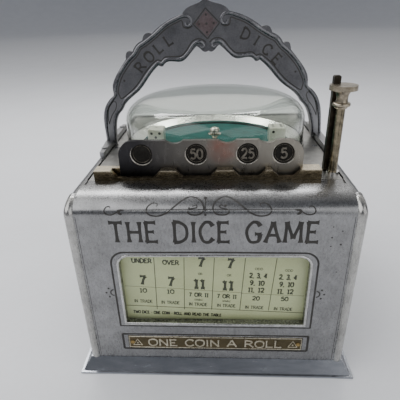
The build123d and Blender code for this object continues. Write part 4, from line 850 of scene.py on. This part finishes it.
class DICEGAME_OT_coin_head(bpy.types.Operator):
    """Numerals, floors and rims in the coin head's round windows; the rims are a painted highlight"""
    bl_idname = "dicegame.coin_head"
    bl_label = "Coin head"

    def execute(self, context):
        lo, hi = (np.array(v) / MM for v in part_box("coin_head"))
        rim, well = on_face(lo[1]), on_face(lo[1] + 1.2)
        # Pale iron on the left and lower arc of each window's rim: a painted highlight where the rim's edge
        # catches the light.
        wear_and_highlight = metal("iron_rim_painted_highlight", linear("#c9c5bc"), linear("#86827b"), linear("#33241e"), mottle=5,
                     scratch=(1, 1, 1), pit=1.2, rough=(0.2, 0.36), bump=0.08, grime_share=0.6)
        numerals, rims, floors = [], [], []
        for x, text, w in ((-56.0, "", None), (-13.0, "50", 9.4), (26.7, "25", 9.4), (54.4, "5", None)):
            floors.append(plate(circle(x, COIN_Z, 8.1, n=49)[:-1], well, 0.06))
            if text:
                numerals += write(text, well, x, COIN_Z - 4.0, 8.0, 1.5, width=w, flare=0.3, lift=0.7)
            numerals.append(ribbon(circle(x, COIN_Z, 6.9, n=48)[:-1], well, 0.5, lift=0.3, closed=True))
            # the rim runs only round the left and lower side: a painted highlight
            rims.append(ribbon(circle(x, COIN_Z, 8.75, 140, 340, 40), rim, 1.0, lift=0.3, taper=0.75))
        build("coin_numerals", numerals, metal("dark_iron_relief", linear("#7d786e"), linear("#4a463f"),
              linear("#2a211c"), mottle=5, scratch=(1, 1, 1), pit=1.2, rough=(0.22, 0.36), bump=0.05),
              "cabinet")
        # The wells' floors are a darker iron than the head.
        build("coin_window_floors", floors, metal("dark_well_iron", linear("#34322f"), linear("#1f1e1c"),
              linear("#3a2a20"), mottle=4, scratch=(1, 1, 1), pit=1.2, rough=(0.35, 0.5), bump=0.1),
              "cabinet")
        build("coin_window_rims", rims, wear_and_highlight, "cabinet")
        return {"FINISHED"}


# Right half of the handle's ornament: from the middle, and above the deck.
OUTER_BEAD = [(105.4, 3), (104.7, 18), (101.4, 36.4), (94.4, 46.2), (90.6, 50.6), (90.0, 55.4), (84.0, 69.0),
              (74.2, 80.6), (67.4, 86.4), (62.4, 92.6), (56.6, 95.8), (48.2, 101.0), (36.4, 109.2),
              (26.4, 113.6),
              (20.0, 115.6), (15.2, 114.6), (13.0, 110.8), (14.6, 107.6), (18.0, 107.6), (19.0, 110.6)]
INNER_BEAD = [(99.4, 3), (97.8, 16.8), (93.8, 30.4), (87.8, 37.8), (81.6, 46.0), (68.6, 55.6), (56.4, 69.4),
              (47.4, 77.6), (43.4, 77.0), (38.6, 80.2), (25.4, 80.2), (18.6, 85.0), (13.4, 91.2), (9.4, 93.6),
              (5.6, 93.2), (3.6, 90.6), (5.0, 88.4), (7.2, 89.4)]
LEAF_GROOVE = [(101.4, 22.5), (101.2, 30), (98.6, 39), (93.6, 44.6), (91.2, 43.0), (92.6, 37.4), (97.0, 31.6),
               (100.2, 25.5), (101.4, 22.5)]
OUTER_GROOVE = [(87.0, 50.5), (87.2, 55.0), (81.4, 67.4), (72.0, 78.6), (65.2, 84.4), (60.4, 90.4),
                (54.8, 93.4),
                (46.6, 98.6), (35.2, 106.6), (26.0, 110.6), (21.6, 111.8), (20.4, 106.8), (16.4, 105.4),
                (12.6, 107.0)]
INNER_GROOVE = [(87.0, 50.5), (84.4, 47.4), (70.2, 57.8), (58.2, 71.6), (48.2, 80.0), (43.2, 79.6),
                (39.2, 82.6),
                (26.2, 82.6), (20.2, 86.8), (14.8, 93.6), (9.8, 96.2), (5.0, 95.6), (1.6, 93.0)]


class DICEGAME_OT_handle_relief(bpy.types.Operator):
    """Raised beads, engraved lines, diamond and letters on both faces of the handle"""
    bl_idname = "dicegame.handle_relief"
    bl_label = "Handle relief"

    def execute(self, context):
        s = settings().sizes
        raised, dark, fields = [], [], []
        for face in (1, -1):
            surface = on_arch(face)
            for side in (1, -1):
                for points, taper in ((OUTER_BEAD, 0.3), (INNER_BEAD, 0.3)):
                    p = smooth([(side * x, r) for x, r in points], 7)
                    raised.append(ribbon(p, surface, s.rim_bead, lift=s.rim_lift, taper=taper))
                for points, width in ((LEAF_GROOVE, 0.8), (OUTER_GROOVE, 1.0), (INNER_GROOVE, 1.0)):
                    p = smooth([(side * x, r) for x, r in points], 7)
                    dark.append(ribbon(p, surface, width, lift=0.08))
                dark.append(dot(side * 80.0, 63.5, surface, 1.0))
            corners = [(-11.6, 108.2), (0, 120.6), (11.6, 108.2), (0, 95.8)]
            for a, b in zip(corners, corners[1:] + corners[:1]):
                dark.append(ribbon(np.linspace(a, b, 6), surface, 1.0, lift=0.1))
            fields.append(plate([(0.86 * x, 108.2 + 0.86 * (r - 108.2)) for x, r in corners], surface, 0.35))
            dark += [dot(x, r, on_arch_lifted(face, 0.35), 1.0)
                     for x, r in ((0, 108.2), (0, 115.4), (0, 101.2), (-6.4, 108.2), (6.4, 108.2))]
            words = (("ROLL", ((-63.4, 75.2, 48), (-54.2, 83.6, 41), (-45.0, 90.8, 35), (-35.2, 96.8, 29))),
                     ("DICE", ((34.4, 97.8, -29), (44.2, 91.8, -35), (53.6, 84.0, -42), (62.4, 75.4, -47))))
            for word, places in words:
                for letter, (x, r, turn) in zip(word, places):
                    glyph = write(letter, surface, x * face, r - 4.6, 9.2, 1.5, flare=0.6, lift=0.1,
                                  turn=turn * face) if face == 1 else mirrored(letter, surface, x, r, turn)
                    dark += glyph
        # The beads are rubbed lighter than the ground they frame.
        build("handle_beads", raised, metal("rubbed_pewter", linear("#7e7e81"), linear("#505053"),
                                            linear("#2c2624"),
              mottle=9, scratch=(1.5, 1.5, 1.5), pit=1.4, rough=(0.24, 0.36), bump=0.05, grime_share=0.6),
              "cabinet")
        build("handle_lines", dark, blackening(), "cabinet")
        build("handle_diamond", fields, metal("reddened_pewter", linear("#74696a"), linear("#54494a"),
              linear("#2c2120"), mottle=5, scratch=(1.2, 1.2, 1.2), pit=1.2, rough=(0.3, 0.45), bump=0.14),
              "cabinet")
        return {"FINISHED"}


def on_arch_lifted(side, lift):
    """A face of the handle, moved out by a small height."""
    base = on_arch(side)

    def place(uv):
        at, up = base(uv)
        return at + up * lift, up
    return place


def mirrored(letter, surface, x, rise, turn):
    """A letter for the rear face, which is read from behind: drawn with u reversed about its place."""
    def flipped(uv):
        uv = np.asarray(uv, float)
        return surface(np.stack([-uv[:, 0], uv[:, 1]], 1))
    return write(letter, flipped, x, rise - 4.6, 9.2, 1.5, flare=0.6, lift=0.1, turn=turn)


class DICEGAME_OT_dice(bpy.types.Operator):
    """Celluloid dice with their pips"""
    bl_idname = "dicegame.dice"
    bl_label = "Dice"

    def execute(self, context):
        c = settings().colours
        # Celluloid in imitation of ivory: creamy, faintly clouded, polished.
        wear(plain("ivory_celluloid", c.ivory, linear("#d3cfbb"), grain=2.0, rough=(0.18, 0.28), bump=0.03,
                   coat=0.4),
             "die_left", "die_right")
        black = plain("black_pip_paint", linear("#222020"), linear("#161414"), grain=0.5, rough=(0.3, 0.45))
        spots = {1: [(0, 0)], 2: [(-1, 1), (1, -1)], 3: [(-1, 1), (0, 0), (1, -1)],
                 4: [(-1, 1), (1, 1), (-1, -1), (1, -1)], 5: [(-1, 1), (1, 1), (0, 0), (-1, -1), (1, -1)],
                 6: [(-1, 1), (1, 1), (-1, 0), (1, 0), (-1, -1), (1, -1)]}
        for name, top, front, right in (("die_left", 1, 5, 4), ("die_right", 6, 2, 4)):
            lo, hi = (np.array(v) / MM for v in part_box(name))
            mid, half = (lo + hi) / 2, (hi - lo) / 2
            axes = {"front": (np.array([0, -1, 0]), np.array([1, 0, 0]), front),
                    "back": (np.array([0, 1, 0]), np.array([-1, 0, 0]), 7 - front),
                    "right": (np.array([1, 0, 0]), np.array([0, 1, 0]), right),
                    "left": (np.array([-1, 0, 0]), np.array([0, -1, 0]), 7 - right),
                    "top": (np.array([0, 0, 1]), np.array([1, 0, 0]), top)}
            parts = []
            for normal, across, count in axes.values():
                up = np.cross(normal, across)

                def side(uv, n=normal, a=across, b=up):
                    uv = np.asarray(uv, float)
                    at = mid + half * n + uv[:, :1] * a + uv[:, 1:] * b
                    return at, np.tile(n.astype(float), (len(uv), 1))
                parts += [dot(4.0 * x, 4.0 * y, side, settings().sizes.pip, lift=0.06, sunk=0.2) for x,
                          y in spots[count]]
            build(name + "_pips", parts, black, name)
        return {"FINISHED"}


class DICEGAME_OT_table_and_dome(bpy.types.Operator):
    """Baize, finial and glass dome"""
    bl_idname = "dicegame.table_and_dome"
    bl_label = "Table and dome"

    def execute(self, context):
        c = settings().colours
        # Green baize: fulled wool with a short nap. Fibres are drawn 0.5 mm thick so that they show.
        wear(plain("green_baize", c.baize, linear("#084844"), grain=0.5, rough=(0.85, 1.0), bump=0.5,
                   sheen=0.05),
             "table_felt")
        wear(metal("pale_nickel_finial", linear("#e4e1d8"), linear("#b7b2a6"), linear("#55503f"), mottle=4,
                   scratch=(0.5, 0.5, 0.3), pit=1.4, rough=(0.16, 0.3), bump=0.05), "table_finial")
        # Blown glass dome: clear, with slow ripples and bright slanted reflections.
        wear(clear_glass("blown_dome_glass", linear("#f4f6f3"), 0.85, 38.0, 0.06), "glass_dome")
        x, y = TABLE
        lo, hi = (np.array(v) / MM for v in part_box("table_finial"))
        dots = []
        for a in (-60, -120):
            u, v = x + 3.4 * np.cos(np.radians(a)), y + 3.4 * np.sin(np.radians(a))

            def cap(uv):
                uv = np.asarray(uv, float)
                at = np.stack([uv[:, 0], uv[:, 1], np.full(len(uv), hi[2] - 1.9)], 1)
                n = np.stack([uv[:, 0] - x, uv[:, 1] - y, np.full(len(uv), 5.0)], 1)
                return at, n / np.linalg.norm(n, axis=1, keepdims=True)
            dots.append(dot(u, v, cap, 0.7, lift=0.1))
        build("finial_dots", dots, blackening(), "table")
        return {"FINISHED"}


class DICEGAME_OT_stage(bpy.types.Operator):
    """Floor, soft lights and camera"""
    bl_idname = "dicegame.stage"
    bl_label = "Stage"

    def execute(self, context):
        scene = bpy.context.scene
        mesh = bpy.data.meshes.new("floor")
        # a wide disc whose rim curves up a quarter circle, so that no edge of it shows
        a, rise = np.linspace(0, 2 * np.pi, 96, endpoint=False), np.radians(np.linspace(0, 85, 18))
        out, up = 6.0 + 2.0 * np.sin(rise), 2.0 * (1 - np.cos(rise))
        v = np.stack([np.outer(out, np.cos(a)), np.outer(out, np.sin(a)), np.repeat(up[:, None], 96, 1)], -1)
        verts, faces = tube(v)
        mesh.from_pydata(verts.tolist(), [], faces[:-1])
        mesh.polygons.foreach_set("use_smooth", np.full(len(mesh.polygons), True))
        # Matt white tabletop.
        mesh.materials.append(plain("white_matt_board", linear("#ebecef"), linear("#e6e7ea"), grain=6.0,
                                    rough=(0.6, 0.8), bump=0.0))
        floor = bpy.data.objects.new("floor", mesh)
        scene.collection.objects.link(floor)
        world = bpy.data.worlds.new("soft_room")
        world.use_nodes = True
        tree = world.node_tree
        tree.nodes.clear()
        way = node(tree, "TexCoord").outputs["Generated"]
        xyz = node(tree, "SeparateXYZ", {0: way})
        # a bright wall behind the machine, a dimmer room in front and above
        behind = node(tree, "MapRange", {"Value": xyz.outputs[1], "From Min": 0.1, "From Max": 0.7})
        room = node(tree, "Mix", {0: behind.outputs[0], 6: linear("#6d7077"), 7: linear("#f7f6f4")},
                    data_type="RGBA")
        back = node(tree, "Background", {"Color": room.outputs[2], "Strength": 1.0})
        node(tree, "OutputWorld", {"Surface": back.outputs[0]})
        scene.world = world
        for name, spot, aim, wide, deep, power in (
                ("window_light", (-1.3, -0.5, 1.7), (0, 0, 0.12), 2.4, 2.4, 40.0),
                ("strip_light", (-0.15, 0.75, 1.05), (0, 0, 0.15), 1.1, 0.16, 9.0),
                ("fill_light", (1.5, -1.3, 1.3), (0, 0, 0.1), 2.6, 2.6, 26.0)):
            lamp = bpy.data.lights.new(name, "AREA")
            lamp.shape, lamp.size, lamp.size_y, lamp.energy = "RECTANGLE", wide, deep, power
            made = bpy.data.objects.new(name, lamp)
            made.location = spot
            made.rotation_euler = (Vector(aim) - Vector(spot)).to_track_quat("-Z", "Y").to_euler()
            scene.collection.objects.link(made)
        lens = bpy.data.cameras.new("camera")
        lens.sensor_width, lens.lens = CAMERA_SENSOR, CAMERA_LENS
        lens.clip_start = 0.01
        camera = bpy.data.objects.new("camera", lens)
        yaw, pitch, roll = np.radians(CAMERA_TURN)
        ahead = np.array([np.sin(yaw) * np.cos(pitch), np.cos(yaw) * np.cos(pitch), -np.sin(pitch)])
        right = np.array([np.cos(yaw), -np.sin(yaw), 0.0])
        up = np.cross(right, ahead)
        right, up = np.cos(roll) * right + np.sin(roll) * up, np.cos(roll) * up - np.sin(roll) * right
        turn = Matrix([[*row, 0] for row in np.stack([right, up, -ahead], 1).tolist()] + [[0, 0, 0, 1]])
        camera.matrix_world = Matrix.Translation(Vector(CAMERA_AT) * MM) @ turn
        scene.collection.objects.link(camera)
        scene.camera = camera
        return {"FINISHED"}


class DICEGAME_PT_panel(bpy.types.Panel):
    """Buttons for each group of pieces, with the sizes and colours"""
    bl_idname = "DICEGAME_PT_panel"
    bl_label = "Dice game"
    bl_space_type = "VIEW_3D"
    bl_region_type = "UI"
    bl_category = "Dice game"

    def draw(self, context):
        s = context.scene.dice_game
        for key in ("title", "plate_words"):
            self.layout.prop(s, key)
        for group in (s.sizes, s.colours):
            for key in group.__annotations__:
                self.layout.prop(group, key)
        for each in OPERATORS:
            self.layout.operator(each.bl_idname)


OPERATORS = (DICEGAME_OT_castings, DICEGAME_OT_fittings, DICEGAME_OT_mechanism,
             DICEGAME_OT_corner_moulding, DICEGAME_OT_title,
             DICEGAME_OT_scrollwork, DICEGAME_OT_window_trim, DICEGAME_OT_pay_card, DICEGAME_OT_name_plate,
             DICEGAME_OT_coin_head, DICEGAME_OT_handle_relief, DICEGAME_OT_dice, DICEGAME_OT_table_and_dome,
             DICEGAME_OT_stage)
CLASSES = (DiceGameSizes, DiceGameColours, DiceGameSettings) + OPERATORS + (DICEGAME_PT_panel,)


def register():
    for each in CLASSES:
        bpy.utils.register_class(each)
    bpy.types.Scene.dice_game = PointerProperty(type=DiceGameSettings)


def unregister():
    del bpy.types.Scene.dice_game
    for each in reversed(CLASSES):
        bpy.utils.unregister_class(each)


def main():
    register()
    for each in OPERATORS:
        group, name = each.bl_idname.split(".")
        getattr(getattr(bpy.ops, group), name)()


if __name__ == "__main__":
    main()
